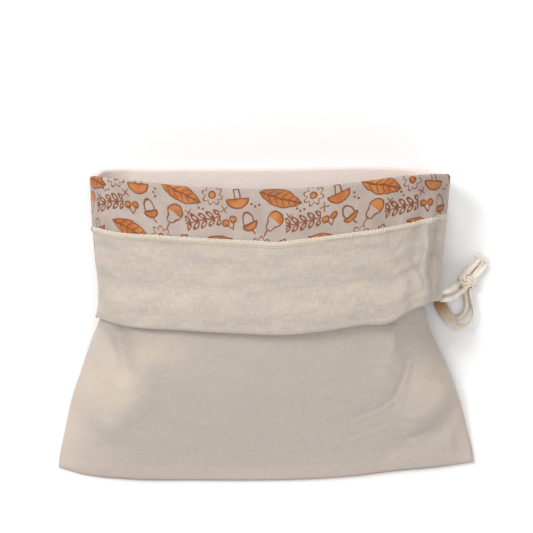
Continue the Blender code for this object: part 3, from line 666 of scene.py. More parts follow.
Pleat = namedtuple("Pleat", "depth off width shade shade_width")
TAIL_PLEAT = Pleat(1.1, -0.3, 1.5, 0.5, 1.3)  # the fold down the middle of each tail
NO_PLEAT = Pleat(0.0, 0.0, 1.0, 0.0, 1.0)
DROOP_TURN = -0.15  # how far a face looks down before its edges hang the other way
DROOP_SPEED = 8
FLATTEST = 0.1  # a section that is less high than this isn't squashed
FLOOR_CLEARANCE = 0.15
Shade = namedtuple("Shade", "centre reach share")
CUFF_SHADE = Shade((146.6, 19.0, 9.0), 18.5, 1.0)  # where the loop's tape goes under the cuff
KNOT_SHADE = Shade((164.0, 32.0, 11.0), 6.5, 0.5)  # where the strands go into the knot
CURLS = np.linspace(0.05, 6.1, 400)  # from a tape that lies flat to one that is rolled shut
Length = namedtuple("Length", "name route nodes shade pleat diameter far_end seed")  # diameter in metres
UPPER_NODES = ("drawstring_upper", "drawstring_tail_left")
LOWER_NODES = ("drawstring_lower", "drawstring_tail_right")
LENGTHS = (
    Length("left_end", UPPER_STRAND, UPPER_NODES, KNOT_SHADE, TAIL_PLEAT, 0.0078, "bare", 5),
    Length("right_end", LOWER_STRAND, LOWER_NODES, KNOT_SHADE, TAIL_PLEAT, 0.0078, "bare", 8),
    Length("loop", LOOP, ("drawstring_loop",), CUFF_SHADE, NO_PLEAT, 0.0105, "knot", None),
)
FRAY_SIZES = {"Length": 6.0 * MM, "Radius": 0.15 * MM, "Bend": 1.1 * MM, "Spread": 0.5}
FRAY_ROOT = 0.8  # how far inside the tape its loose threads start
FRAY_LIES = (1.0, 1.0, 0.4)  # the part of the tape's direction that they keep, so that they lie flatter
FRAY_RISE = (0.0, 0.0, 0.1)


def in_metres(points):
    """Points where the solids have them."""
    return (np.asarray(points) - [0.0, MIDDLE_Y, 0.0]) * MM


def link_mesh(name, points, faces=(), material=None, uv=None, values=None, edges=()):
    """A piece from points in millimetres, with their places in the flat cloth and any other values."""
    mesh = bpy.data.meshes.new(name)
    mesh.from_pydata(in_metres(points).tolist(), edges, np.asarray(faces).tolist())
    if material:
        mesh.materials.append(material)
    if uv is not None:
        layer = mesh.uv_layers.new(name="cloth")
        corners = np.empty(len(mesh.loops), int)
        mesh.loops.foreach_get("vertex_index", corners)
        layer.data.foreach_set("uv", (np.asarray(uv, np.float32)[corners] * MM).ravel())
    for key, numbers in (values or {}).items():
        kind, field = ("FLOAT_VECTOR", "vector") if np.ndim(numbers) == 2 else ("FLOAT", "value")
        held = mesh.attributes.new(key, kind, "POINT")
        held.data.foreach_set(field, np.ravel(numbers).astype(np.float32))
    mesh.shade_smooth()
    mesh.update()
    return linked(name, mesh)


def outward_faces(piece):
    """Turns a closed mesh's faces outwards."""
    mesh = bmesh.new()
    mesh.from_mesh(piece.data)
    bmesh.ops.recalc_face_normals(mesh, faces=mesh.faces)
    mesh.to_mesh(piece.data)
    mesh.free()
    piece.data.shade_smooth()
    return piece


def tube_faces(rings, around, closed=False):
    """The faces between rings of points, and those of a closed tube's last ring to its first."""
    faces = []
    for ring in range(rings if closed else rings - 1):
        low, high = ring * around, (ring + 1) % rings * around
        for side in range(around):
            after = (side + 1) % around
            faces.append([low + side, low + after, high + after, high + side])
    return faces


def end_faces(rings, around):
    """The faces that close a tube's first and last ring, from each point to the one across."""
    faces = []
    for first in (0, (rings - 1) * around):
        for side in range(around // 2 - 1):
            other = around - 1 - side
            faces.append([first + side, first + side + 1, first + other - 1, first + other])
    return faces


def waves(table, along, around):
    """The summed waves of a table, along a tape and around it or across it."""
    return sum(wave.depth * np.sin(wave.along * along + wave.around * around + wave.start) for wave in table)


def curl_for(width):
    """The angle through which the tape's section is rolled when it shows this wide."""
    shown = 2 * TAPE_WIDTH / CURLS * np.sin(np.minimum(CURLS / 2, QUARTER))
    return float(np.interp(-width, -shown, CURLS))


def tape_frames(route):
    """The tape's middle line, its directions ahead, across and off its face, its width and its thickness."""
    middle = np.array([[row.x, row.y, row.z] for row in route])
    across = np.array([row.across for row in route])
    run = np.concatenate([[0.0], np.cumsum(np.linalg.norm(np.diff(middle, axis=0), axis=1))])
    at = np.linspace(0.0, run[-1], round(run[-1] / TAPE_STEP))
    centre = np.column_stack([curve_through(at, run, column) for column in middle.T])
    across = np.column_stack([curve_through(at, run, column) for column in across.T])
    ahead = np.gradient(centre, axis=0)
    ahead /= np.linalg.norm(ahead, axis=1, keepdims=True)
    across -= ahead * np.sum(across * ahead, axis=1, keepdims=True)
    across /= np.linalg.norm(across, axis=1, keepdims=True)
    width = curve_through(at, run, [row.width for row in route])
    thick = curve_through(at, run, [row.thick for row in route])
    return centre, ahead, across, np.cross(ahead, across), width, thick


def tape_section(width, thick, droop=1.0, pleat=NO_PLEAT, tail=0.0):
    """The tape's rolled section: points of its middle line and their outward directions, as (across, off).

    Its edges hang below its middle by the droop's share, and a tail's pleat sinks its middle.
    """
    curl = curl_for(width)
    radius = TAPE_WIDTH / curl
    angle = np.linspace(-curl / 2, curl / 2, TAPE_FACETS)
    out = radius * np.sin(angle)
    up = radius * (np.cos(angle) - 1)
    squash = min(1.0, thick / max(float(np.ptp(up)), FLATTEST))
    up = (up - (up.min() + up.max()) / 2) * squash * droop
    up -= np.sign(droop) * pleat.depth * tail * bump_at(out - pleat.off, pleat.width)
    direction = np.column_stack([np.sin(angle) * squash * droop, np.cos(angle)])
    direction /= np.linalg.norm(direction, axis=1, keepdims=True)
    return np.column_stack([out, up]), direction


def make_tape(name, route, material, shade, pleat):
    """The tape swept along its route. Returns the piece and its middle line in metres."""
    centre, ahead, across, face, width, thick = tape_frames(route)
    run = np.arange(len(centre)) * TAPE_STEP
    facet = np.arange(TAPE_FACETS)
    side = np.linspace(-TAPE_WIDTH / 2, TAPE_WIDTH / 2, TAPE_FACETS)
    points, uv, hollow = [], [], []
    for k in range(len(centre)):
        droop = min(1.0, max(-1.0, DROOP_SPEED * (face[k][2] - DROOP_TURN)))
        tail = float(smooth_step(1 - (run[-1] - run[k]) / TAIL_REACH))
        shown = width[k] * (1 + waves(FLUTTER, run[k], 0))
        section, direction = tape_section(shown, thick[k], droop, pleat, tail)
        crumpled = RUMPLE_ELSEWHERE + tail * (pleat.depth > 0)
        section = section + direction * (waves(RUMPLES, k, facet) * crumpled)[:, None]
        for way in (1, -1):
            ring = (section + direction * way * TAPE_THICK / 2)[::way]
            points.append(centre[k] + across[k] * ring[:, :1] + face[k] * ring[:, 1:])
            hollow.append(pleat.shade * tail * bump_at(ring[:, 0] - pleat.off, pleat.shade_width))
            uv.append(np.column_stack([side[::way], np.full(TAPE_FACETS, run[k])]))
    points = np.concatenate(points)
    points[:, 2] = np.maximum(points[:, 2], FLOOR_CLEARANCE)
    near = bump_at(np.linalg.norm(points - shade.centre, axis=1), shade.reach)
    shaded = np.maximum(np.concatenate(hollow), shade.share * near)
    around = 2 * TAPE_FACETS
    faces = tube_faces(len(centre), around) + end_faces(len(centre), around)
    piece = link_mesh(name, points, faces, material, np.concatenate(uv), {"shaded": shaded})
    return outward_faces(piece), in_metres(centre).tolist()


def make_knot(material):
    """The knot: the tape bunched and passed three times round itself, drawn tight."""
    t = np.linspace(0.0, 2 * math.pi, KNOT_STEPS, endpoint=False)
    reach = 2 + np.cos(3 * t)
    shape = np.column_stack([reach * np.cos(2 * t), reach * np.sin(2 * t), np.sin(3 * t)])
    wide, thick = KNOT_TAPE
    line = shape * np.subtract(KNOT_HALF_SIZES, KNOT_MARGINS) / [3.0, 3.0, 1.0]
    ahead = np.roll(line, -1, axis=0) - np.roll(line, 1, axis=0)
    ahead /= np.linalg.norm(ahead, axis=1, keepdims=True)
    out = line / np.linalg.norm(line, axis=1, keepdims=True)
    side = np.cross(ahead, out)
    side /= np.linalg.norm(side, axis=1, keepdims=True)
    out = np.cross(side, ahead)
    dark_along = KNOT_SHADE_ALONG.depth * (1 + np.cos(KNOT_SHADE_ALONG.along * t))
    points, uv, shaded = [], [], []
    for facet in range(KNOT_FACETS):
        angle = 2 * math.pi * facet / KNOT_FACETS
        across = side * math.cos(angle) * wide + out * math.sin(angle) * thick
        points.append(line + across * (1 + waves(KNOT_CRUMPLES, t, angle))[:, None])
        dark_around = KNOT_SHADE_AROUND.depth * max(0.0, -math.cos(KNOT_SHADE_AROUND.around * angle))
        shaded.append(dark_around + dark_along)
        uv.append(np.column_stack([np.full(KNOT_STEPS, facet), t]) * KNOT_CLOTH)
    x, y, z = np.stack(points, axis=1).reshape(-1, 3).T
    turn_x, turn_y = math.cos(KNOT_TURN), math.sin(KNOT_TURN)
    placed = np.column_stack([x * turn_x - y * turn_y, x * turn_y + y * turn_x, z]) + KNOT_CENTRE
    placed[:, 2] = np.maximum(placed[:, 2], FLOOR_CLEARANCE)
    faces = tube_faces(KNOT_STEPS, KNOT_FACETS, closed=True)
    uv = np.stack(uv, axis=1).reshape(-1, 2)
    shaded = np.stack(shaded, axis=1).ravel()
    return outward_faces(link_mesh("knot_turns", placed, faces, material, uv, {"shaded": shaded}))


# Threads laid by Geometry Nodes

class Plan:
    """A geometry node tree in the making, with named sizes, a seed and a material."""

    def __init__(self, name, sizes):
        self.tree = bpy.data.node_groups.new(name, "GeometryNodeTree")
        self.ask("Geometry", "Geometry")
        for size in sizes:
            self.ask("Float", size)
        self.ask("Int", "Seed")
        self.ask("Material", "Material")
        self.tree.interface.new_socket("Geometry", in_out="OUTPUT", socket_type="NodeSocketGeometry")
        self.inputs = self.tree.nodes.new("NodeGroupInput").outputs
        self.result = self.tree.nodes.new("NodeGroupOutput")

    def ask(self, kind, label):
        """A named input of the tree."""
        self.tree.interface.new_socket(label, in_out="INPUT", socket_type="NodeSocket" + kind)

    def node(self, kind, links=None, **settings):
        made = self.tree.nodes.new(kind)
        for key, value in settings.items():
            setattr(made, key, value)
        for key, value in (links or {}).items():
            self.put(value, made.inputs[key])
        return made

    def put(self, value, socket):
        if isinstance(value, bpy.types.NodeSocket):
            self.tree.links.new(value, socket)
        else:
            socket.default_value = value

    def math(self, operation, first, second):
        return self.node("ShaderNodeMath", {0: first, 1: second}, operation=operation).outputs[0]

    def times(self, first, second):
        return self.math("MULTIPLY", first, second)

    def vector(self, x, y, z):
        return self.node("ShaderNodeCombineXYZ", {0: x, 1: y, 2: z}).outputs[0]

    def chance(self, low, high, salt):
        """A random number for each thread, its own for each salt."""
        seed = self.math("ADD", self.inputs["Seed"], float(salt))
        links = {"Min": low, "Max": high, "Seed": seed}
        made = self.node("FunctionNodeRandomValue", links, data_type="FLOAT")
        return next(socket for socket in made.outputs if socket.enabled)

    def outward(self):
        """The direction off the cloth, as the guide holds it."""
        links = {"Name": "outward"}
        made = self.node("GeometryNodeInputNamedAttribute", links, data_type="FLOAT_VECTOR")
        return next(socket for socket in made.outputs if socket.enabled)

    def tube(self, line, sides):
        """A thread of round section along a curve, closed at its ends."""
        links = {"Resolution": sides, "Radius": self.inputs["Radius"]}
        profile = self.node("GeometryNodeCurvePrimitiveCircle", links)
        links = {"Curve": line.outputs[0], "Profile Curve": profile.outputs[0], "Fill Caps": True}
        return self.node("GeometryNodeCurveToMesh", links).outputs[0]

    def turned(self, rotation, more):
        """A rotation, turned further about its own axes."""
        links = {"Rotation": rotation.outputs[0], "Rotate By": more.outputs[0]}
        return self.node("FunctionNodeRotateRotation", links, rotation_space="LOCAL").outputs[0]

    def lay(self, thread, points, rotation, size):
        """The finished tree: the thread laid at every point, as one mesh in its material."""
        links = {"Points": points, "Instance": thread, "Rotation": rotation, "Scale": size}
        laid = self.node("GeometryNodeInstanceOnPoints", links)
        solid = self.node("GeometryNodeRealizeInstances", {"Geometry": laid.outputs[0]})
        smooth = self.node("GeometryNodeSetShadeSmooth", {"Geometry": solid.outputs[0]})
        links = {"Geometry": smooth.outputs[0], "Material": self.inputs["Material"]}
        self.put(self.node("GeometryNodeSetMaterial", links).outputs[0], self.result.inputs[0])
        return self.tree


def arched_thread(plan):
    """One stitch: a thread along X that rises from the cloth and goes back into it."""
    line = plan.node("GeometryNodeCurveQuadraticBezier", {
        "Resolution": 6,
        "Start": plan.vector(plan.times(plan.inputs["Length"], -0.5), 0.0, 0.0),
        "Middle": plan.vector(0.0, 0.0, plan.times(plan.inputs["Lift"], 2.0)),
        "End": plan.vector(plan.times(plan.inputs["Length"], 0.5), 0.0, 0.0),
    })
    return plan.tube(line, sides=6)


def stitch_plan():
    """Stitches at an even pitch along a line on the cloth, each turned by a slant."""
    plan = Plan("stitch_row", ("Pitch", "Length", "Lift", "Radius", "Slant", "Unevenness"))
    line = plan.node("GeometryNodeMeshToCurve", {"Mesh": plan.inputs["Geometry"]})
    links = {"Curve": line.outputs[0], "Length": plan.inputs["Pitch"]}
    places = plan.node("GeometryNodeCurveToPoints", links, mode="LENGTH")
    facing = plan.node(
        "FunctionNodeAxesToRotation",
        {"Primary Axis": plan.outward(), "Secondary Axis": places.outputs["Tangent"]},
        primary_axis="Z",
        secondary_axis="X",
    )
    stray = plan.times(plan.chance(-1.0, 1.0, 1), plan.inputs["Unevenness"])
    links = {"Axis": (0.0, 0.0, 1.0), "Angle": plan.math("ADD", plan.inputs["Slant"], stray)}
    slant = plan.node("FunctionNodeAxisAngleToRotation", links)
    size = plan.math("ADD", 1.0, plan.times(plan.chance(-1.0, 1.0, 2), plan.inputs["Unevenness"]))
    size = plan.vector(size, 1.0, 1.0)
    return plan.lay(arched_thread(plan), places.outputs["Points"], plan.turned(facing, slant), size)


def fray_plan():
    """Loose threads that leave a cut end, each bent and turned its own way."""
    plan = Plan("frayed_end", ("Length", "Radius", "Bend", "Spread"))
    length, bend, spread = plan.inputs["Length"], plan.inputs["Bend"], plan.inputs["Spread"]
    line = plan.node("GeometryNodeCurvePrimitiveBezierSegment", {
        "Resolution": 9,
        "Start": (0.0, 0.0, 0.0),
        "Start Handle": plan.vector(0.0, 0.0, plan.times(length, 0.4)),
        "End Handle": plan.vector(bend, 0.0, plan.times(length, 0.6)),
        "End": plan.vector(plan.times(bend, 2.2), plan.times(bend, 0.5), length),
    })
    points = plan.node("GeometryNodeMeshToPoints", {"Mesh": plan.inputs["Geometry"]})
    facing = plan.node("FunctionNodeAlignRotationToVector", {"Vector": plan.outward()}, axis="Z")
    tilt = plan.times(plan.chance(-1.0, 1.0, 3), spread)
    swing = plan.times(plan.chance(-1.0, 1.0, 4), spread)
    angles = plan.vector(tilt, swing, plan.chance(0.0, 6.28, 5))
    bent = plan.node("FunctionNodeEulerToRotation", {"Euler": angles})
    size = plan.vector(1.0, 1.0, plan.chance(0.2, 1.3, 6))
    return plan.lay(plan.tube(line, sides=5), points.outputs[0], plan.turned(facing, bent), size)


def grown(name, guide, tree, sizes, seed, material):
    """The mesh that a tree makes on a guide, as a plain piece. Sizes are in metres and angles in radians."""
    modifier = guide.modifiers.new("threads", "NODES")
    modifier.node_group = tree
    given = {key: float(size) for key, size in sizes.items()}
    given.update({"Seed": seed, "Material": material})
    for item in tree.interface.items_tree:
        if item.in_out == "INPUT" and item.name in given:
            modifier[item.identifier] = given[item.name]
    bpy.context.view_layer.update()
    evaluated = guide.evaluated_get(bpy.context.evaluated_depsgraph_get())
    mesh = bpy.data.meshes.new_from_object(evaluated)
    mesh.name = name
    mesh.materials.clear()
    mesh.materials.append(material)
    mesh.polygons.foreach_set("material_index", [0] * len(mesh.polygons))
    for vertex in mesh.vertices:
        vertex.co.z = max(vertex.co.z, 0.0)
    bpy.data.objects.remove(guide)
    return linked(name, mesh)


def joined(name, pieces):
    """Several pieces of one material as one."""
    mesh = bmesh.new()
    for piece in pieces:
        mesh.from_mesh(piece.data)
    data = bpy.data.meshes.new(name)
    mesh.to_mesh(data)
    mesh.free()
    data.materials.append(pieces[0].data.materials[0])
    data.shade_smooth()
    for piece in pieces:
        bpy.data.objects.remove(piece)
    return linked(name, data)


def fitted(piece, slot, *nodes):
    """Sets a piece on the bag's one body and hides the solids that it stands for. Its slot is not used."""
    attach(piece, "root")
    if nodes:
        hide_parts(*nodes)
    return piece


def make_fray(name, route, seed, material, tree):
    """The loose threads at the cut end of a tail."""
    centre, ahead, across, face, width, thick = (part[-1] for part in tape_frames(route))
    section, _ = tape_section(width, thick)
    starts = centre - ahead * FRAY_ROOT + across * section[:, :1] + face * section[:, 1:]
    way = ahead * FRAY_LIES + FRAY_RISE
    guide = link_mesh(name + "_guide", starts, values={"outward": np.tile(way, (len(starts), 1))})
    return grown(name, guide, tree, FRAY_SIZES, seed, material)


def make_drawstring(tape):
    """The drawstring: two lengths that leave the channel, pass the knot and end frayed, and the loop."""
    fray = fray_plan()
    knot = fitted(make_knot(tape), "drawstring", "drawstring_knot")
    for row in LENGTHS:
        piece, path = make_tape("tape_" + row.name, row.route, tape, row.shade, row.pleat)
        fitted(piece, "drawstring", *row.nodes)
        end = knot
        if row.far_end == "bare":
            threads = make_fray("fray_" + row.name, row.route, row.seed, tape, fray)
            end = fitted(threads, "drawstring")


# The bag's walls, laid out as the solids are

COTTON = 1.0
LINING = 1.0
PLY_GAP = 0.3
TURN_GAP = 0.6
CHANNEL_GAP = 1.3
BAND_STEP = 0.3
CHANNEL_PUFF = 4.2
CHANNEL_ENDS = 0.16
MOUTH_ROUND = 0.8
WALL_STACK = COTTON + PLY_GAP + LINING
CUFF_STACK = TURN_GAP + COTTON + CHANNEL_GAP + COTTON
RIM_REACH = (WALL_STACK + CUFF_STACK - BAND_STEP) / 2
COTTON_CLOTH = 0.6  # the cloths' real thicknesses, on the middle lines of the solids
LINING_CLOTH = 0.5
CUT_WIDTH = 352

BOTTOM_SEAM = course(
    (-176, -121.8), (-156, -127.6), (-119, -131.9), (-59, -132.9), (0, -132.9), (37, -132.0), (73, -129.5),
    (109, -125.2), (145, -121.8), (176, -117.3),
)
FRONT_RIM = course(
    (-144, 124.4), (-134, 122.4), (-100, 118.2), (-75, 115.0), (-45, 113.0), (5, 112.0), (28, 112.6),
    (45, 114.0), (62, 116.2), (87, 119.4), (104, 122.2), (118, 123.6), (149, 126.0),
)
REAR_RIM = course(
    (-144, 124.4), (-140, 129.0), (-130, 131.2), (-99, 131.6), (0, 132.0), (120, 131.9), (134, 130.5),
    (149, 126.0),
)
FRONT_OVERLOCK = course(
    (-146, 79.4), (-125, 74.6), (-86, 71.4), (-45, 68.8), (-5, 66.5), (4, 65.8), (26, 68.0), (57, 72.0),
    (86, 76.0), (116, 81.5), (150, 89.9),
)
REAR_OVERLOCK = course((-146, 79.4), (0, 84.5), (150, 89.9))
FRONT_MOUTH = course(
    (-142, 5.9), (-130, 2.2), (-65, -4.0), (-24, -6.2), (16, -7.4), (46, -4.6), (77, 0.2), (104, 3.6),
    (110, 7.4), (120, 12.6), (134, 18.4), (148, 20.0),
)
REAR_MOUTH = course((-142, 5.9), (0, 12.8), (148, 20.0))
Side = namedtuple("Side", "along left right")
SIDES = (
    Side(-134, -176.8, 177.0),
    Side(-121, -176.3, 176.2),
    Side(-110, -174.8, 175.0),
    Side(-88, -170.4, 170.0),
    Side(-64, -164.8, 163.2),
    Side(-40, -156.6, 154.2),
    Side(-20, -149.6, 144.8),
    Side(-8, -145.0, 138.8),
    Side(2, -140.4, 134.6),
    Side(12, -137.6, 132.2),
    Side(30, -136.8, 131.6),
    Side(60, -140.0, 137.4),
    Side(90, -142.0, 143.8),
    Side(125, -143.7, 149.9),
    Side(140, -144.2, 151.6),
)
Section = namedtuple("Section", "along crown side rise corner rest")
MIDDLE_BOTTOM = -132.9
MIDDLE_RIM = 109.0
SECTIONS = (
    Section(-134, 4.9, 2.45, 0, 6, 0),
    Section(-128, 7.6, 2.6, 8, 6, 0),
    Section(-112, 18.0, 3.4, 24, 7, 0),
    Section(-90, 34.5, 5.6, 42, 10, 0),
    Section(-60, 57.0, 11.0, 60, 16, 0),
    Section(-34, 72.0, 17.5, 74, 22, 0.3),
    Section(-14, 79.8, 22.8, 85, 27, CUFF_STACK),
    Section(4, 82.5, 26.0, 90, 30, CUFF_STACK),
    Section(30, 85.0, 29.0, 90, 31, CUFF_STACK),
    Section(70, 88.0, 32.0, 90, 31, CUFF_STACK),
    Section(115, 90.0, 34.0, 90, 30, CUFF_STACK),
    Section(145, 89.0, 34.0, 90, 30, CUFF_STACK),
)
CROWN_AT = 4
SHOULDER = 0.66
SLACK_EDGE = 0.36
CORNER_FULLNESS = 0.4
Flare = namedtuple("Flare", "across off")
FLARES = (
    Flare(0.0, 0.6),
    Flare(0.12, 1.6),
    Flare(0.35, 3.6),
    Flare(0.6, 4.4),
    Flare(0.78, 5.0),
    Flare(0.9, 9.5),
    Flare(1.0, 13.0),
)
FLARE_BEND = 1.3
REAR_FLARE_REACH = 0.06
OVERLOCK_FLARE = 0.3
CHANNEL_TOP = 0.71
CHANNEL_RISE = 0.17
CHANNEL_BELLY = 0.88
CHANNEL_DRAW = 0.2
Gather = namedtuple("Gather", "height width in_top in_end")
FRONT_GIRTH = 362
RIGHT_GATHERS = (
    Gather(-2.0, 5.0, 24, 31),
    Gather(1.5, 5.0, 33, 40),
    Gather(-1.0, 5.0, 44, 50),
    Gather(2.2, 8.0, 112, 36),
)
GATHER_START = 0.35
LEFT_PRESS = 1.6
LEFT_PRESS_REACH = 11

# Folds of the front seen from above: the broad ones are the solids' own, and the creases are finer
Fold = namedtuple("Fold", "height width line")
BROAD_FOLDS = (
    Fold(-6.0, 13, course((-132, 12), (-124, -8), (-118, -22))),
    Fold(3.0, 10, course((-145, -6), (-140, -22), (-132, -40))),
    Fold(-0.7, 7, course((140, -20), (124, -31), (119, -44), (109, -62), (90, -74), (58, -85))),
    Fold(2.6, 11, course((136, -34), (132, -46), (126, -60), (116, -70))),
    Fold(3.5, 12, course((104, -2), (105, -28), (100, -46))),
    Fold(-3.0, 12, course((117, 0), (116, -18))),
    Fold(-3.8, 9, course((154, -68), (144, -84), (126, -97), (104, -103))),
    Fold(2.4, 9, course((152, -88), (155, -106))),
)
FOLD_ENDS = 0.35
FOLD_RUN = (0.02, 0.98)
FOLDS_REACH = 14
FOLDS_FADE = 26
BOTTOM_FADE = 16
SIDE_FADE = 0.05
CREASE_GROWS = 0.18  # the part of its line over which a crease grows, and the part over which it dies out
CREASE_ENDS = 0.25
Crease = namedtuple("Crease", "ridge trough width line")
BODY_CREASES = (
    Crease(0.8, 0.9, 1.9, course(
        (135.7, -19.5), (117.9, -29.6), (115.6, -40.5), (107.0, -61.7), (95.4, -70.2), (73.8, -78.6),
        (55.4, -83.5),
    )),
    Crease(0.5, 0.6, 2.4, course((104.8, -81.2), (84.1, -90.7), (62.5, -99.4))),
    Crease(0.9, 0.9, 2.6, course((151.0, -67.9), (141.8, -84.8), (125.0, -96.6), (108.2, -101.2))),
    Crease(0.7, 0.4, 3.0, course((115.7, -42.2), (107.1, -73.5), (114.0, -78.8), (138.8, -74.3))),
    Crease(0.4, 0.5, 2.0, course((80.1, -34.8), (92.0, -33.2), (105.9, -33.9))),
    Crease(1.5, 0.4, 4.2, course((102.0, 4.0), (101.5, -26.8))),
    Crease(0.8, 0.3, 3.5, course((151.2, -91.7), (154.2, -109.0))),
    Crease(1.2, 1.6, 3.2, course((-118.5, -38.0), (-125.5, -18.0), (-128.5, -6.0), (-130.5, 22.0))),
    Crease(4.4, 0.0, 11.0, course((144.0, -44.0), (140.5, -60.0), (128.0, -72.5), (110.0, -76.5))),
    Crease(0.0, 4.4, 9.0, course((-120.5, 12.0), (-117.5, -8.0), (-114.0, -28.0), (-110.0, -52.0))),
    Crease(1.3, 0.0, 4.5, course((-139.5, 6.0), (-137.5, -8.0), (-134.0, -24.0))),
    Crease(3.4, 0.0, 13.0, course((-134.0, -103.0), (-114.0, -80.0), (-95.0, -60.0), (-91.0, -13.0))),
    Crease(0.45, 0.3, 3.5, course((137.5, -87.3), (122.6, -101.8), (100.0, -114.7))),
    Crease(0.35, 0.25, 4.0, course((-62.6, -23.8), (-42.1, -29.5), (-21.6, -27.8))),
    Crease(0.3, 0.3, 3.0, course((20.0, -40.0), (34.0, -60.0), (40.0, -78.0))),
)
CUFF_CREASES = (
    Crease(1.8, 0.9, 4.0, course((96.2, 72.5), (113.0, 52.3), (120.2, 40.0), (129.6, 25.8), (128.7, 19.2))),
    Crease(2.2, 2.4, 1.9, course((140.3, 87.0), (139.4, 65.7), (135.3, 46.9), (137.7, 29.4), (134.7, 19.0))),
    Crease(1.5, 1.3, 2.1, course((129.0, 80.1), (131.0, 65.4), (129.6, 52.3), (126.3, 40.8))),
    Crease(1.4, 1.4, 2.1, course((125.1, 52.3), (130.2, 37.4), (129.6, 24.2))),
    Crease(2.4, 2.2, 1.7, course((144.0, 88.0), (142.4, 62.0), (143.6, 42.0), (140.8, 20.0))),
    Crease(1.5, 1.6, 1.6, course((136.6, 84.0), (136.2, 66.0), (132.4, 48.0), (134.0, 30.0))),
)
Patch = namedtuple("Patch", "x y wide tall share")
PAINTED_LIGHT_PATCHES = (  # painted light: lighter, creamier patches of the body where the light falls brightest, seen from above
    Patch(-133, -46, 44, 42, 0.58),
    Patch(-88, -20, 44, 20, 0.32),
    Patch(-166, -88, 26, 44, 0.3),
    Patch(137, -50, 36, 36, 0.48),
)

SEAM_ROUND = 5.0  # how far from a seam's edge the cloth starts to round over into it
SEAM_GROOVE = 0.5
SEAM_GROOVE_WIDTH = 2.0
SEAM_OVERLAP = 0.12  # how far front and rear run into each other in the seam, so that no slit is left
SEAM_ALLOWANCE = 9.0  # the width of the turned-in seam that shows as a faint step
ALLOWANCE_STEP = 0.3
ALLOWANCE_EDGE = 2.5

# The cloth's unevenness, with the distances over which it dies out

Relief = namedtuple("Relief", "shape height wide tall seed")
BODY_WAVES = (
    Relief(ripples, 0.34, 34, 26, 1),
    Relief(ripples, 0.2, 15, 12, 2),
    Relief(crinkles, 0.07, 15, 12, 3),
)
FACING_WAVES = (
    Relief(ripples, 0.5, 30, 7.5, 4),
    Relief(ripples, 0.26, 13, 4.5, 5),
    Relief(crinkles, 0.12, 17, 8, 6),
)
CHANNEL_PUCKERS = (Relief(ripples, 0.34, 7.5, 9, 7), Relief(crinkles, 0.2, 10, 6, 8))
BAND_DENTS = (Relief(ripples, 0.5, 26, 20, 9), Relief(crinkles, 0.12, 22, 15, 10))
SEAM_GATHERS = (Relief(ripples, 0.3, 4.2, 9, 12),)
REAR_LINING_SAG = (Relief(ripples, 0.5, 30, 22, 14),)
CUFF_DEPTH = 120.0
BODY_END = 8  # how far up under the cuff the body's unevenness reaches
BODY_FADE = 14
CREASE_FADE = 9
CUFF_SIDE_FADE = 16
CHANNEL_CALM = 0.3  # how much flatter the facing's wrinkles are in the channel
CHANNEL_START = 0.04  # the channel's puckers begin this far above its line of stitches, in parts of the cuff
CHANNEL_FADE = 0.08
CHANNEL_LINE = -0.15
CHANNEL_LINE_WIDTH = 0.012
SCALLOP = 0.8  # the drawn-up mouth edge beside the left side seam
SCALLOP_PITCH = 5.2
SCALLOP_REACH = 7
SCALLOP_START = 0.8
SEAM_GATHERS_REACH = 7.0
RIM_FADE = 0.06
SAG_FADE = 12
TABLE_ROWS = 261
TABLE_COLUMNS = 361
GIRTH_ROW = 195  # the table's row at which the girth is measured, well up under the cuff
TABLE_START = -0.03
TABLE_END = 1.06
ARCH_STEPS = 200
TROUGH_STEPS = 60
FIRST_GUESS = 0.7  # the part of the bag's length where the search for a line of the cuff begins
GUESSES = 8


def fold_height(x, y, folds):
    """How far the broad folds raise the cloth at each point."""
    raised = np.zeros(x.shape)
    for fold in folds:
        away, _, where = distance_to_line(x, y, fold.line)
        full = FOLD_ENDS + (1 - FOLD_ENDS) * np.sqrt(np.sin(math.pi * np.clip(where, *FOLD_RUN)))
        raised += fold.height * full * bump_at(away, fold.width)
    return raised


def crease_height(x, y, creases):
    """How far the fine creases raise the cloth: a ridge on each line's left and a trough on its right."""
    raised = np.zeros(x.shape)
    for crease in creases:
        away, side, where = distance_to_line(x, y, crease.line)
        full = smooth_step(where / CREASE_GROWS) * smooth_step((1 - where) / CREASE_ENDS)
        off = away * side
        ridge = crease.ridge * bump_at(off + crease.width * 0.5, crease.width)
        trough = crease.trough * bump_at(off - crease.width * 0.5, crease.width)
        raised += (ridge - trough) * full
    return raised


def rounded(away):
    """A quarter round from 1 at a seam to 0 where the cloth leaves it."""
    reach = np.clip(away / SEAM_ROUND, 0.0, 1.0)
    return 1 - np.sqrt(1 - (1 - reach) ** 2)


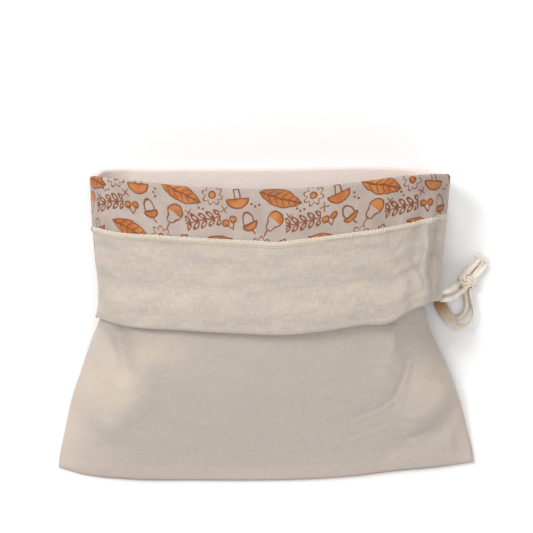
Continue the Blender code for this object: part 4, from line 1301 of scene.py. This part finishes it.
class Wall:
    """The outer face of the bag's front or rear wall, laid out across the bag and along it."""

    def __init__(self, front):
        self.front = front
        outline = FRONT_RIM if front else REAR_RIM
        self.rim = [Point(p.x, p.y - RIM_REACH) for p in outline]
        self.overlock = FRONT_OVERLOCK if front else REAR_OVERLOCK
        self.mouth = FRONT_MOUTH if front else REAR_MOUTH
        self.along = np.linspace(TABLE_START, TABLE_END, TABLE_ROWS)
        self.across = np.linspace(0.0, 1.0, TABLE_COLUMNS)
        self.apart = []
        self.points = np.array([self.row(part) for part in self.along])
        self.points[:, :, 2] += self.folds()
        self.normals = self.outward()
        girths = np.linalg.norm(np.diff(self.points, axis=1), axis=2).sum(axis=1)
        self.girth = float(girths[GIRTH_ROW])

    def row(self, part):
        """One cross-section, as points at equal distances from the left edge to the right one."""
        edges = []
        knots, *columns = zip(*SIDES)
        for end, column in zip((0, -1), columns):
            y = BOTTOM_SEAM[end].y * (1 - part) + self.rim[end].y * part
            edges.append(float(curve_through(y, knots, column)))
        left, right = edges
        middle = MIDDLE_BOTTOM * (1 - part) + MIDDLE_RIM * part
        knots, *columns = zip(*SECTIONS)
        crown, side, rise, corner, rest = (float(curve_through(middle, knots, column)) for column in columns)
        rest = min(max(rest, 0.0), CUFF_STACK)
        rise = math.radians(min(max(rise, 0.0), 90.0))
        apart = WALL_STACK * math.cos(rise)
        self.apart.append(apart)
        drawn_in = (apart + SEAM_GROOVE) * math.sin(rise)
        left, right = left - drawn_in, right + drawn_in
        if self.front:
            outline = self.arch(left, right, side + apart, crown, rise)
        else:
            outline = self.trough(left, right, side - apart, rest, rise, corner)
        outline = evenly_spaced(outline, TABLE_COLUMNS)
        share = (outline[:, 0] - left) / (right - left)
        y = self.spread(BOTTOM_SEAM, share) * (1 - part) + self.spread(self.rim, share) * part
        return np.column_stack([outline[:, 0], y, outline[:, 1]])

    def spread(self, line, share):
        """How far along the bag a line lies, at shares of its own width from left to right."""
        return line_height(line, line[0].x + share * (line[-1].x - line[0].x))

    def arch(self, left, right, foot, crown, rise):
        """The front panel's cross-section: up from each side seam and over the crown."""
        crown = max(crown, foot)
        top = np.array([CROWN_AT, crown])
        upright = rise / QUARTER
        halves = []
        for edge, way in ((left, 1), (right, -1)):
            reach = abs(top[0] - edge)
            start = np.array([edge, foot])
            pull = SLACK_EDGE * reach * (1 - upright) + SHOULDER * (crown - foot) * upright
            leave = start + pull * np.array([way * math.cos(rise), math.sin(rise)])
            arrive = top - np.array([way * SHOULDER * reach, 0.0])
            halves.append(bezier(start, leave, arrive, top, np.linspace(0.0, 1.0, ARCH_STEPS)))
        return np.concatenate([halves[0], halves[1][-2::-1]])

    def trough(self, left, right, foot, rest, rise, corner):
        """The rear panel's cross-section: down from each side seam, then flat."""
        foot = max(foot, rest)
        halves = []
        for edge, way in ((left, 1), (right, -1)):
            start = np.array([edge, foot])
            low = np.array([edge + way * corner, rest])
            pull = CORNER_FULLNESS * math.hypot(corner, foot - rest)
            leave = start + pull * np.array([way * math.cos(rise), -math.sin(rise)])
            leave[1] = max(leave[1], rest)
            arrive = low - np.array([way * CORNER_FULLNESS * corner, 0.0])
            halves.append(bezier(start, leave, arrive, low, np.linspace(0.0, 1.0, TROUGH_STEPS)))
        return np.concatenate([halves[0], halves[1][::-1]])

    def folds(self):
        """The front panel's broad folds, which die out under the cuff and at the seams."""
        if not self.front:
            return np.zeros(self.points.shape[:2])
        x = self.points[:, :, 0]
        y = self.points[:, :, 1]
        below_cuff = smooth_step((line_height(self.mouth, x) + FOLDS_REACH - y) / FOLDS_FADE)
        from_bottom = smooth_step((y - line_height(BOTTOM_SEAM, x)) / BOTTOM_FADE)
        from_side = smooth_step(np.minimum(self.across, 1 - self.across) / SIDE_FADE)[None, :]
        return fold_height(x, y, BROAD_FOLDS) * below_cuff * from_bottom * from_side

    def outward(self):
        """The direction off the cloth at each point of the table."""
        over = np.gradient(self.points, axis=1)
        up = np.gradient(self.points, axis=0)
        normal = np.cross(over, up)
        normal /= np.linalg.norm(normal, axis=2, keepdims=True)
        return normal if self.front else -normal

    def at(self, across, part):
        """Points and outward directions at places given as arrays of one shape."""
        column = np.clip(across, 0.0, 1.0) * (TABLE_COLUMNS - 1)
        row = np.clip((part - TABLE_START) / (TABLE_END - TABLE_START), 0.0, 1.0) * (TABLE_ROWS - 1)
        i = np.minimum(row.astype(int), TABLE_ROWS - 2)
        j = np.minimum(column.astype(int), TABLE_COLUMNS - 2)
        f = (row - i)[..., None]
        g = (column - j)[..., None]
        found = []
        for table in (self.points, self.normals):
            low = table[i, j] * (1 - g) + table[i, j + 1] * g
            high = table[i + 1, j] * (1 - g) + table[i + 1, j + 1] * g
            found.append(low * (1 - f) + high * f)
        point, normal = found
        return point, normal / np.linalg.norm(normal, axis=-1, keepdims=True)

    def length(self, across):
        """The distance from the bottom seam to the rim, seen from above."""
        low, _ = self.at(across, np.zeros(across.shape))
        high, _ = self.at(across, np.ones(across.shape))
        return high[..., 1] - low[..., 1]

    def distance_at(self, line, across, off):
        """How far from the bottom seam a line seen from above crosses cloth that stands off the wall."""
        length = self.length(across)
        part = np.full(across.shape, FIRST_GUESS)
        for _ in range(GUESSES):
            place, normal = self.at(across, part)
            wanted = line_height(line, place[..., 0] + normal[..., 0] * off)
            part = part + (wanted - place[..., 1] - normal[..., 1] * off) / length
        return part * length

    def flare(self, across):
        """How far the cuff's mouth edge stands off the wall."""
        if self.front:
            return curve_through(across, *zip(*FLARES))
        from_left = smooth_step(1 - across / REAR_FLARE_REACH)
        from_right = smooth_step(1 - (1 - across) / REAR_FLARE_REACH)
        return FLARES[0].off * from_left + FLARES[-1].off * from_right

    def puff(self, across):
        """How far the channel stands out. The rear one is pressed flat."""
        if not self.front:
            return np.zeros(across.shape)
        from_left = smooth_step(across / CHANNEL_ENDS)
        from_right = smooth_step((1 - across) / CHANNEL_ENDS)
        return CHANNEL_PUFF * from_left * from_right

    def gathers(self, across, depth):
        """The upright gathers beside the cuff's right end, at parts of the cuff's depth."""
        raised = np.zeros(np.broadcast(across, depth).shape)
        if not self.front:
            return raised
        in_from_right = (1 - across) * FRONT_GIRTH
        for gather in RIGHT_GATHERS:
            centre = gather.in_top + (gather.in_end - gather.in_top) * depth
            raised = raised + gather.height * bump_at(in_from_right - centre, gather.width)
        return raised * smooth_step(depth / GATHER_START)

    def from_side(self, across):
        """The distance to the nearer side seam, along the cloth."""
        return np.minimum(across, 1 - across) * self.girth

    def seam_draw(self, across, along):
        """How far the wall is drawn in at its side seams and the bottom seam, where front and rear meet."""
        part = along / self.length(across)
        apart = np.interp(part, self.along, self.apart)
        deep = np.maximum(apart + SEAM_GROOVE, WALL_STACK - COTTON / 2 + SEAM_OVERLAP)
        return np.maximum(deep * rounded(self.from_side(across)), WALL_STACK * rounded(along))


# What the cloth does on top of the walls' own shape

def uneven(table, u, v):
    """The summed height of a zone's waves."""
    return sum(row.height * row.shape(u, v, row.wide, row.tall, row.seed) for row in table)


def body_relief(wall, x, y, across, along):
    """Fine creases and unevenness of the wall below the cuff, and the step of the seam allowance."""
    if not wall.front:
        return np.zeros(x.shape)
    from_seams = np.minimum(wall.from_side(across), along)
    below_cuff = smooth_step((line_height(wall.mouth, x) + BODY_END - y) / BODY_FADE)
    creases = crease_height(x, y, BODY_CREASES) * smooth_step(from_seams / CREASE_FADE)
    unevenness = uneven(BODY_WAVES, x, y) * smooth_step(from_seams / BODY_FADE)
    allowance = ALLOWANCE_STEP * (1 - smooth_step((from_seams - SEAM_ALLOWANCE) / ALLOWANCE_EDGE))
    return (creases + unevenness + allowance) * below_cuff


def facing_relief(wall, x, y, across, depth):
    """The turned-down cotton: the channel's crease, lengthways wrinkles, and creases beside its right end."""
    if not wall.front:
        return np.zeros(x.shape)
    u, s = across * wall.girth, depth * CUFF_DEPTH
    channel = smooth_step((depth - CHANNEL_TOP + CHANNEL_START) / CHANNEL_FADE)
    wrinkles = uneven(FACING_WAVES, u, s) * (1 - CHANNEL_CALM * channel)
    puckers = uneven(CHANNEL_PUCKERS, u, s) * channel
    line = CHANNEL_LINE * bump_at(depth - CHANNEL_TOP, CHANNEL_LINE_WIDTH)
    scallops = np.cos(s * 2 * math.pi / SCALLOP_PITCH) * bump_at(u, SCALLOP_REACH)
    scallops = SCALLOP * scallops * smooth_step((depth - SCALLOP_START) / CHANNEL_FADE)
    from_side = smooth_step(wall.from_side(across) / CUFF_SIDE_FADE)
    return (wrinkles + puckers + line) * from_side + crease_height(x, y, CUFF_CREASES) + scallops


def band_relief(wall, across, depth):
    """The soft dents of the turned-down lining."""
    if not wall.front:
        return np.zeros(across.shape)
    from_side = smooth_step(wall.from_side(across) / CUFF_SIDE_FADE)
    dents = uneven(BAND_DENTS, across * wall.girth, depth * CUFF_DEPTH)
    return dents * from_side * smooth_step(depth / RIM_FADE)


def seam_puckers(wall, across, depth, seam):
    """Small gathers that the overlocked seam draws up on both its sides."""
    if not wall.front:
        return np.zeros(across.shape)
    u = across * wall.girth
    return uneven(SEAM_GATHERS, u, u * 0.0) * bump_at((depth - seam) * CUFF_DEPTH, SEAM_GATHERS_REACH)


def turn(centre_along, centre_off, radius, end, steps):
    """A half turn of the cloth away from the wall, at the rim (end 1) or at the mouth edge (end -1)."""
    angles = np.linspace(0.0, math.pi, steps + 2)[1:-1, None]
    return centre_along + end * radius * np.sin(angles), centre_off - radius * np.cos(angles)


def cuff_lift(wall, across, depth):
    """How far the cuff stands off the wall where it flares and gathers."""
    return wall.flare(across) * depth**FLARE_BEND + wall.gathers(across, depth)


def mouth_radius(wall, across):
    """The radius of the cotton's turn at the mouth edge, at its middle line."""
    return (COTTON + CHANNEL_GAP + MOUTH_ROUND * wall.puff(across)) / 2


def cuff_lines(wall, across):
    """How far from the bottom seam the wall's end, the overlocked seam and the turn at the mouth edge are."""
    flare = wall.flare(across)
    overlock = wall.distance_at(wall.overlock, across, CUFF_STACK + OVERLOCK_FLARE * flare)
    mouth = wall.distance_at(wall.mouth, across, CUFF_STACK + flare + wall.puff(across) / 2)
    return wall.length(across), overlock, mouth + mouth_radius(wall, across) + COTTON / 2


def left_press(wall, across):
    """How far the facing is pressed down beside the left side seam."""
    return LEFT_PRESS * bump_at(across * wall.girth, LEFT_PRESS_REACH) if wall.front else 0.0 * across


def facing_off(wall, across, depth):
    """How far the facing stands off the wall, without its wrinkles."""
    swell = smooth_step((depth - CHANNEL_TOP) / CHANNEL_RISE)
    draw = 1 - CHANNEL_DRAW * smooth_step((depth - CHANNEL_BELLY) / (1 - CHANNEL_BELLY))
    lift = cuff_lift(wall, across, depth) - left_press(wall, across)
    return CUFF_STACK - COTTON / 2 + lift + wall.puff(across) * swell * draw


BODY_UNDER_CUFF = 10  # how far the body's fine rows go on under the cuff
EVEN_ROWS = 0.85  # the rest of the rows' spacing is closer near the bottom seam


def groove(wall, across):
    """The hollow of the side seams where the cuff crosses them."""
    return -SEAM_GROOVE * bump_at(wall.from_side(across), SEAM_GROOVE_WIDTH)


def cotton_layout(wall, across, rows):
    """The cotton's middle line: rows along the bag and off the wall, with the relief of each zone."""
    length, overlock, mouth = cuff_lines(wall, across)
    cuff = length - mouth
    parts = []

    def add(along, off, relief):
        along, off, relief = np.broadcast_arrays(along, off, relief)
        parts.append((along, off + relief))

    def spot(along, off):
        wide = np.broadcast_to(across, along.shape)
        place, normal = wall.at(wide, along / length)
        return place[..., 0] + normal[..., 0] * off, place[..., 1] + normal[..., 1] * off, wide

    def share(zone, first=0):
        return np.linspace(0.0, 1.0, rows[zone])[first:, None]

    whole = share("body")
    whole = whole * EVEN_ROWS + (1 - np.cos(whole * QUARTER)) * (1 - EVEN_ROWS)
    shown = mouth + BODY_UNDER_CUFF
    along = np.concatenate([whole * shown, shown + share("hidden", 1) * (length - shown)])
    x, y, wide = spot(along, 0.0)
    add(along, -COTTON / 2 - wall.seam_draw(wide, along), body_relief(wall, x, y, wide, along))
    add(*turn(length, TURN_GAP / 2, (TURN_GAP + COTTON) / 2, 1, rows["rim"]), 0.0)
    depth = share("hidden")
    add(length - depth * cuff, TURN_GAP + COTTON / 2 + cuff_lift(wall, across, depth), 0.0)
    radius = mouth_radius(wall, across) - left_press(wall, across) / 2
    lift = cuff_lift(wall, across, np.ones(across.shape))
    edge = turn(mouth, TURN_GAP + COTTON / 2 + lift + radius, radius, -1, rows["mouth"])
    x, y, wide = spot(*edge)
    add(*edge, facing_relief(wall, x, y, wide, np.ones(wide.shape)) * smooth_step(share("mouth")))
    top = (length - overlock + PLY_GAP / 2) / cuff
    depth = 1 + share("facing") * (top - 1)
    along, off = length - depth * cuff, facing_off(wall, across, depth)
    x, y, wide = spot(along, off)
    relief = facing_relief(wall, x, y, wide, depth) + seam_puckers(wall, wide, depth, top)
    add(along, off, relief + groove(wall, wide))
    return [np.concatenate(part) for part in zip(*parts)]


LINING_INSET = 6.0  # how far the lining stays from the seams where front and rear lie flat on each other
PLAIN_RIM = 22.0  # the rear lining is bare of print this far in from its rim
PLAIN_RIM_EDGE = 6
PLAIN_TURN = 2 / 3  # the part of the rim's turn that is bare with it
WORN_REACH = 26  # how far from the seams the cotton is warmer


def lining_layout(wall, across, rows):
    """The lining's middle line, as the cotton's."""
    length, overlock, mouth = cuff_lines(wall, across)
    inside = -COTTON - PLY_GAP - LINING / 2
    outside = CUFF_STACK - BAND_STEP - LINING / 2
    along = LINING_INSET + np.linspace(0.0, 1.0, rows["body"])[:, None] * (length - LINING_INSET)
    wide = lining_across(wall, np.broadcast_to(across, along.shape), along, length)
    place, _ = wall.at(wide, along / length)
    x, y = place[..., 0], place[..., 1]
    below_rim = smooth_step((length - along) / SAG_FADE)
    sag = 0.0 if wall.front else -np.abs(uneven(REAR_LINING_SAG, x, y)) * below_rim
    first = (along, inside + body_relief(wall, x, y, wide, along) + sag)
    over = turn(length, (inside + outside) / 2, (outside - inside) / 2, 1, rows["rim"])
    seam = (length - overlock - PLY_GAP / 2) / (length - mouth)
    depth = np.linspace(0.0, 1.0, rows["band"])[:, None] * seam
    wide = np.broadcast_to(across, depth.shape)
    relief = band_relief(wall, wide, depth) + seam_puckers(wall, wide, depth, seam) + groove(wall, wide)
    band = (length - depth * (length - mouth), outside + cuff_lift(wall, across, depth) + relief)
    parts = [np.broadcast_arrays(*part) for part in (first, over, band)]
    return [np.concatenate(part) for part in zip(*parts)]


def lining_across(wall, across, along, length):
    """The lining's columns, which stay clear of the flat seams."""
    apart = np.interp(along / length, wall.along, wall.apart)
    inset = LINING_INSET * apart / WALL_STACK / wall.girth
    return inset + across * (1 - 2 * inset)


def cloth_grids(wall, layout, columns, rows, thickness):
    """The inner and outer face of one cloth as grids of points, with each point's place in the flat cloth."""
    across = np.linspace(0.0, 1.0, columns)
    along, off = layout(wall, across, rows)
    length = wall.length(across)
    run = np.gradient(along, axis=0)
    climb = np.gradient(off, axis=0)
    size = np.hypot(run, climb)
    steps = np.hypot(np.diff(along, axis=0), np.diff(off, axis=0))
    walked = np.concatenate([np.zeros((1, columns)), np.cumsum(steps, axis=0)])
    grids = []
    for way in (-1, 1):
        shifted_along = along - way * thickness / 2 * climb / size
        shifted_off = off + way * thickness / 2 * run / size
        wide = np.broadcast_to(across, along.shape)
        if layout is lining_layout:
            wide = lining_across(wall, wide, shifted_along, length)
        point, normal = wall.at(wide, shifted_along / length)
        grids.append(point + normal * shifted_off[..., None])
    uv = np.stack([np.broadcast_to(across * CUT_WIDTH, along.shape), walked], axis=-1)
    return grids, uv, along, length


def sheet_faces(rows, columns, flip):
    """The faces of a closed sheet between two grids."""
    index = np.arange(rows * columns).reshape(rows, columns)
    low = index[:-1, :-1]
    quads = np.stack([low, low + 1, low + columns + 1, low + columns], axis=-1).reshape(-1, 4)
    other = rows * columns
    faces = [quads + other, quads[:, ::-1]]
    for edge, way in ((index[:, 0], 1), (index[:, -1], -1), (index[0], -1), (index[-1], 1)):
        strip = np.stack([edge[:-1], edge[:-1] + other, edge[1:] + other, edge[1:]], axis=-1)
        faces.append(strip[:, ::way])
    faces = np.concatenate(faces)
    return faces[:, ::-1] if flip else faces


def make_cloth(name, wall, layout, columns, rows, thickness, material):
    """One cloth as a closed thin sheet, with the values that its material reads at each point."""
    grids, uv, along, length = cloth_grids(wall, layout, columns, rows, thickness)
    points = np.concatenate([grid.reshape(-1, 3) for grid in grids])
    if not wall.front:
        points[:, 2] = np.maximum(points[:, 2], 0.0)
    count = len(along)
    row = np.arange(count)[:, None]
    blank = np.zeros(along.shape)
    from_side = wall.from_side(np.broadcast_to(np.linspace(0.0, 1.0, columns), along.shape))
    edge = 1 - smooth_step(np.minimum(from_side, np.maximum(along, 0.0)) / WORN_REACH)
    printed = blank + 1
    if not wall.front:
        inner = row < rows["body"] + rows["rim"] * PLAIN_TURN
        printed = np.where(inner, smooth_step((length - along - PLAIN_RIM) / PLAIN_RIM_EDGE), 1.0)
    # Painted light: how far each point lies in one of the body's lit patches.
    painted_light = blank
    for patch in PAINTED_LIGHT_PATCHES if wall.front else ():
        away = np.hypot((grids[1][..., 0] - patch.x) / patch.wide, (grids[1][..., 1] - patch.y) / patch.tall)
        painted_light = np.maximum(painted_light, patch.share * smooth_step(1 - away))
    facing = blank + (row >= count - rows.get("facing", 0))
    values = {"edge": edge, "printed": printed, "facing": facing, "painted_light": painted_light}
    values = {key: np.tile(numbers.ravel(), 2) for key, numbers in values.items()}
    uv = np.concatenate([uv.reshape(-1, 2)] * 2)
    return link_mesh(name, points, sheet_faces(count, columns, not wall.front), material, uv, values)


# The stitching

SEAM_POINTS = 260
SEAM_ENDS = (0.002, 0.998)
LOWEST_THREAD = 0.9
STITCH_SEED = 10


def seam_places(wall, across, drop, rise, depth_at=None):
    """Points along a seam of the cuff, this far below its line and off the cloth, and outward directions."""
    length, overlock, mouth = cuff_lines(wall, across)
    cuff = length - mouth
    top = (length - overlock) / cuff
    depth = (top if depth_at is None else np.full(across.shape, depth_at)) + drop / cuff
    along = length - depth * cuff
    off = facing_off(wall, across, depth)
    place, normal = wall.at(across, along / length)
    x, y = place[:, 0] + normal[:, 0] * off, place[:, 1] + normal[:, 1] * off
    off = off + COTTON_CLOTH / 2 + rise + facing_relief(wall, x, y, across, depth)
    off = off + seam_puckers(wall, across, depth, top)
    points = place + normal * off[:, None]
    points[:, 2] = np.maximum(points[:, 2], LOWEST_THREAD)
    return points, normal


def make_seam_line(name, wall, drop, rise, depth_at=None):
    """A guide along a seam, with the direction off the cloth at each point."""
    points, normal = seam_places(wall, np.linspace(*SEAM_ENDS, SEAM_POINTS), drop, rise, depth_at)
    edges = [(k, k + 1) for k in range(SEAM_POINTS - 1)]
    return link_mesh(name, points, values={"outward": normal}, edges=edges)


Bed = namedtuple("Bed", "drop width thick start end scallop")
OVERLOCK_BEDS = (
    Bed(-0.3, 3.7, 0.9, 0.002, 0.998, 0.3),
    Bed(1.9, 1.8, 0.4, 0.06, 0.66, 0.0),
)
BED_SIDES = 10
BED_STEPS = {True: 900, False: 300}  # in front and behind
BED_ENDS = 12  # over how much of its length a bed thins out
BED_TIP = 0.02
BED_SUNK = -0.35  # how much of its thickness lies in the cloth


def make_bed(name, wall, bed, pitch, thread):
    """The flat of thread or cut edge under the stitches: a low rounded band along the overlocked seam."""
    count = BED_STEPS[wall.front]
    across = np.linspace(bed.start, bed.end, count)
    run = across * wall.girth
    wave = np.cos(run * 2 * math.pi / pitch)
    ends = np.sqrt(smooth_step(np.minimum(run - run[0], run[-1] - run) / BED_ENDS) + BED_TIP)
    rings = []
    for side in range(BED_SIDES):
        angle = 2 * math.pi * side / BED_SIDES
        down, up = math.cos(angle), math.sin(angle)
        reach = down * bed.width / 2 * ends - bed.scallop * max(0.0, -down) * (1 + wave)
        points, _ = seam_places(wall, across, bed.drop + reach, max(up, BED_SUNK) * bed.thick)
        rings.append(points)
    points = np.stack(rings, axis=1).reshape(-1, 3)
    faces = tube_faces(count, BED_SIDES) + end_faces(count, BED_SIDES)
    # Painted shade: the whole bed takes the darker colour that stands for the shade under the stitches.
    return outward_faces(link_mesh(name, points, faces, thread, values={"under": np.ones(len(points))}))


Stitch = namedtuple("Stitch", "drop rise pitch length lift radius slant uneven")
OVERLOCK_STITCHES = (
    Stitch(-0.3, -0.1, 2.3, 4.4, 0.85, 0.42, 1.05, 0.22),
    Stitch(-2.1, 0.0, 2.3, 1.9, 0.5, 0.4, 0.25, 0.24),
)
CHANNEL_STITCHES = (Stitch(0.0, -0.28, 3.0, 2.2, 0.2, 0.17, 0.0, 0.05),)


def make_stitching(name, walls, stitches, thread, tree, depth_at=None, beds=()):
    """All the rows of thread along one seam, in front and behind."""
    rows = []
    for wall in walls:
        for bed in beds:
            rows.append(make_bed(f"{name}_bed", wall, bed, stitches[0].pitch, thread))
        for k, stitch in enumerate(stitches):
            guide = make_seam_line(f"{name}_guide", wall, stitch.drop, stitch.rise, depth_at)
            sizes = {
                "Pitch": stitch.pitch * MM,
                "Length": stitch.length * MM,
                "Lift": stitch.lift * MM,
                "Radius": stitch.radius * MM,
                "Slant": stitch.slant,
                "Unevenness": stitch.uneven,
            }
            rows.append(grown(f"{name}_{k}", guide, tree, sizes, STITCH_SEED + k, thread))
    return fitted(joined(name, rows), "cotton")


# The four cloths

FRONT_ROWS = {"body": 112, "hidden": 14, "rim": 5, "mouth": 9, "facing": 62}
REAR_ROWS = {"body": 40, "hidden": 12, "rim": 5, "mouth": 5, "facing": 20}
FRONT_LINING_ROWS = {"body": 96, "rim": 9, "band": 42}
REAR_LINING_ROWS = {"body": 90, "rim": 9, "band": 14}
Cloth = namedtuple("Cloth", "name node front columns rows held")
COTTONS = (
    Cloth("front_cotton", "cotton_front", True, 228, FRONT_ROWS, "draped"),
    Cloth("rear_cotton", "cotton_rear", False, 120, REAR_ROWS, "laid"),
)
LININGS = (
    Cloth("front_lining", "lining_front", True, 200, FRONT_LINING_ROWS, "draped"),
    Cloth("rear_lining", "lining_rear", False, 130, REAR_LINING_ROWS, "laid"),
)


def make_bag(cotton, lining, thread):
    """The four cloths and the stitching of the cuff."""
    walls = {front: Wall(front) for front in (True, False)}
    for cloth in COTTONS:
        wall = walls[cloth.front]
        piece = make_cloth(cloth.name, wall, cotton_layout, cloth.columns, cloth.rows, COTTON_CLOTH, cotton)
        fitted(piece, "cotton", cloth.node)
    for cloth in LININGS:
        wall = walls[cloth.front]
        piece = make_cloth(cloth.name, wall, lining_layout, cloth.columns, cloth.rows, LINING_CLOTH, lining)
        fitted(piece, "lining", cloth.node)
    tree = stitch_plan()
    both = walls.values()
    make_stitching("overlocked_seam", both, OVERLOCK_STITCHES, thread, tree, beds=OVERLOCK_BEDS)
    make_stitching("channel_stitches", both, CHANNEL_STITCHES, thread, tree, CHANNEL_TOP)


# The surface and the light

FLOOR_COLOUR = (0.88, 0.88, 0.88, 1.0)
FLOOR_REACH = 9.0  # in metres
SKY = 0.48  # how bright a white surface looks under the room's own light
Lamp = namedtuple("Lamp", "name x y z size share")  # share: how much each lamp adds to that
LAMPS = (
    Lamp("key", -2600, 2000, 3800, 1700, 0.38),
    Lamp("low", -700, 4300, 2200, 1600, 0.15),
    Lamp("overhead", 0, 200, 5000, 2600, 0.2),
    Lamp("fill", 1500, -3400, 2700, 2600, 0.15),
)


def make_floor():
    mesh = bpy.data.meshes.new("floor")
    corners = [(x * FLOOR_REACH, y * FLOOR_REACH, 0) for x, y in ((-1, -1), (1, -1), (1, 1), (-1, 1))]
    mesh.from_pydata(corners, [], [(0, 1, 2, 3)])
    mesh.materials.append(Paint("pale_floor").dress({"Base Color": FLOOR_COLOUR, "Roughness": 0.9}))
    linked("floor", mesh)


def make_lights():
    """Square lamps around the bag, each as strong as its share of a white surface's brightness needs."""
    for lamp in LAMPS:
        data = bpy.data.lights.new(lamp.name, "AREA")
        data.size = lamp.size * MM
        light = linked(lamp.name, data)
        light.location = (lamp.x * MM, lamp.y * MM, lamp.z * MM)
        away = light.location.length
        data.energy = lamp.share * math.pi**2 * away**3 / light.location.z
        light.rotation_mode = "QUATERNION"
        light.rotation_quaternion = (-light.location).to_track_quat("-Z", "Y")
    world = bpy.data.worlds.new("studio")
    world.use_nodes = True
    backdrop = world.node_tree.nodes["Background"]
    backdrop.inputs["Color"].default_value = (1.0, 1.0, 1.0, 1.0)
    backdrop.inputs["Strength"].default_value = SKY
    bpy.context.scene.world = world
    bpy.context.scene.view_settings.view_transform = "Standard"


def main():
    make_camera()
    tape = tape_material()
    thread = thread_material()
    make_drawstring(tape)
    make_bag(cotton_material(), lining_material(), thread)
    make_floor()
    make_lights()


main()
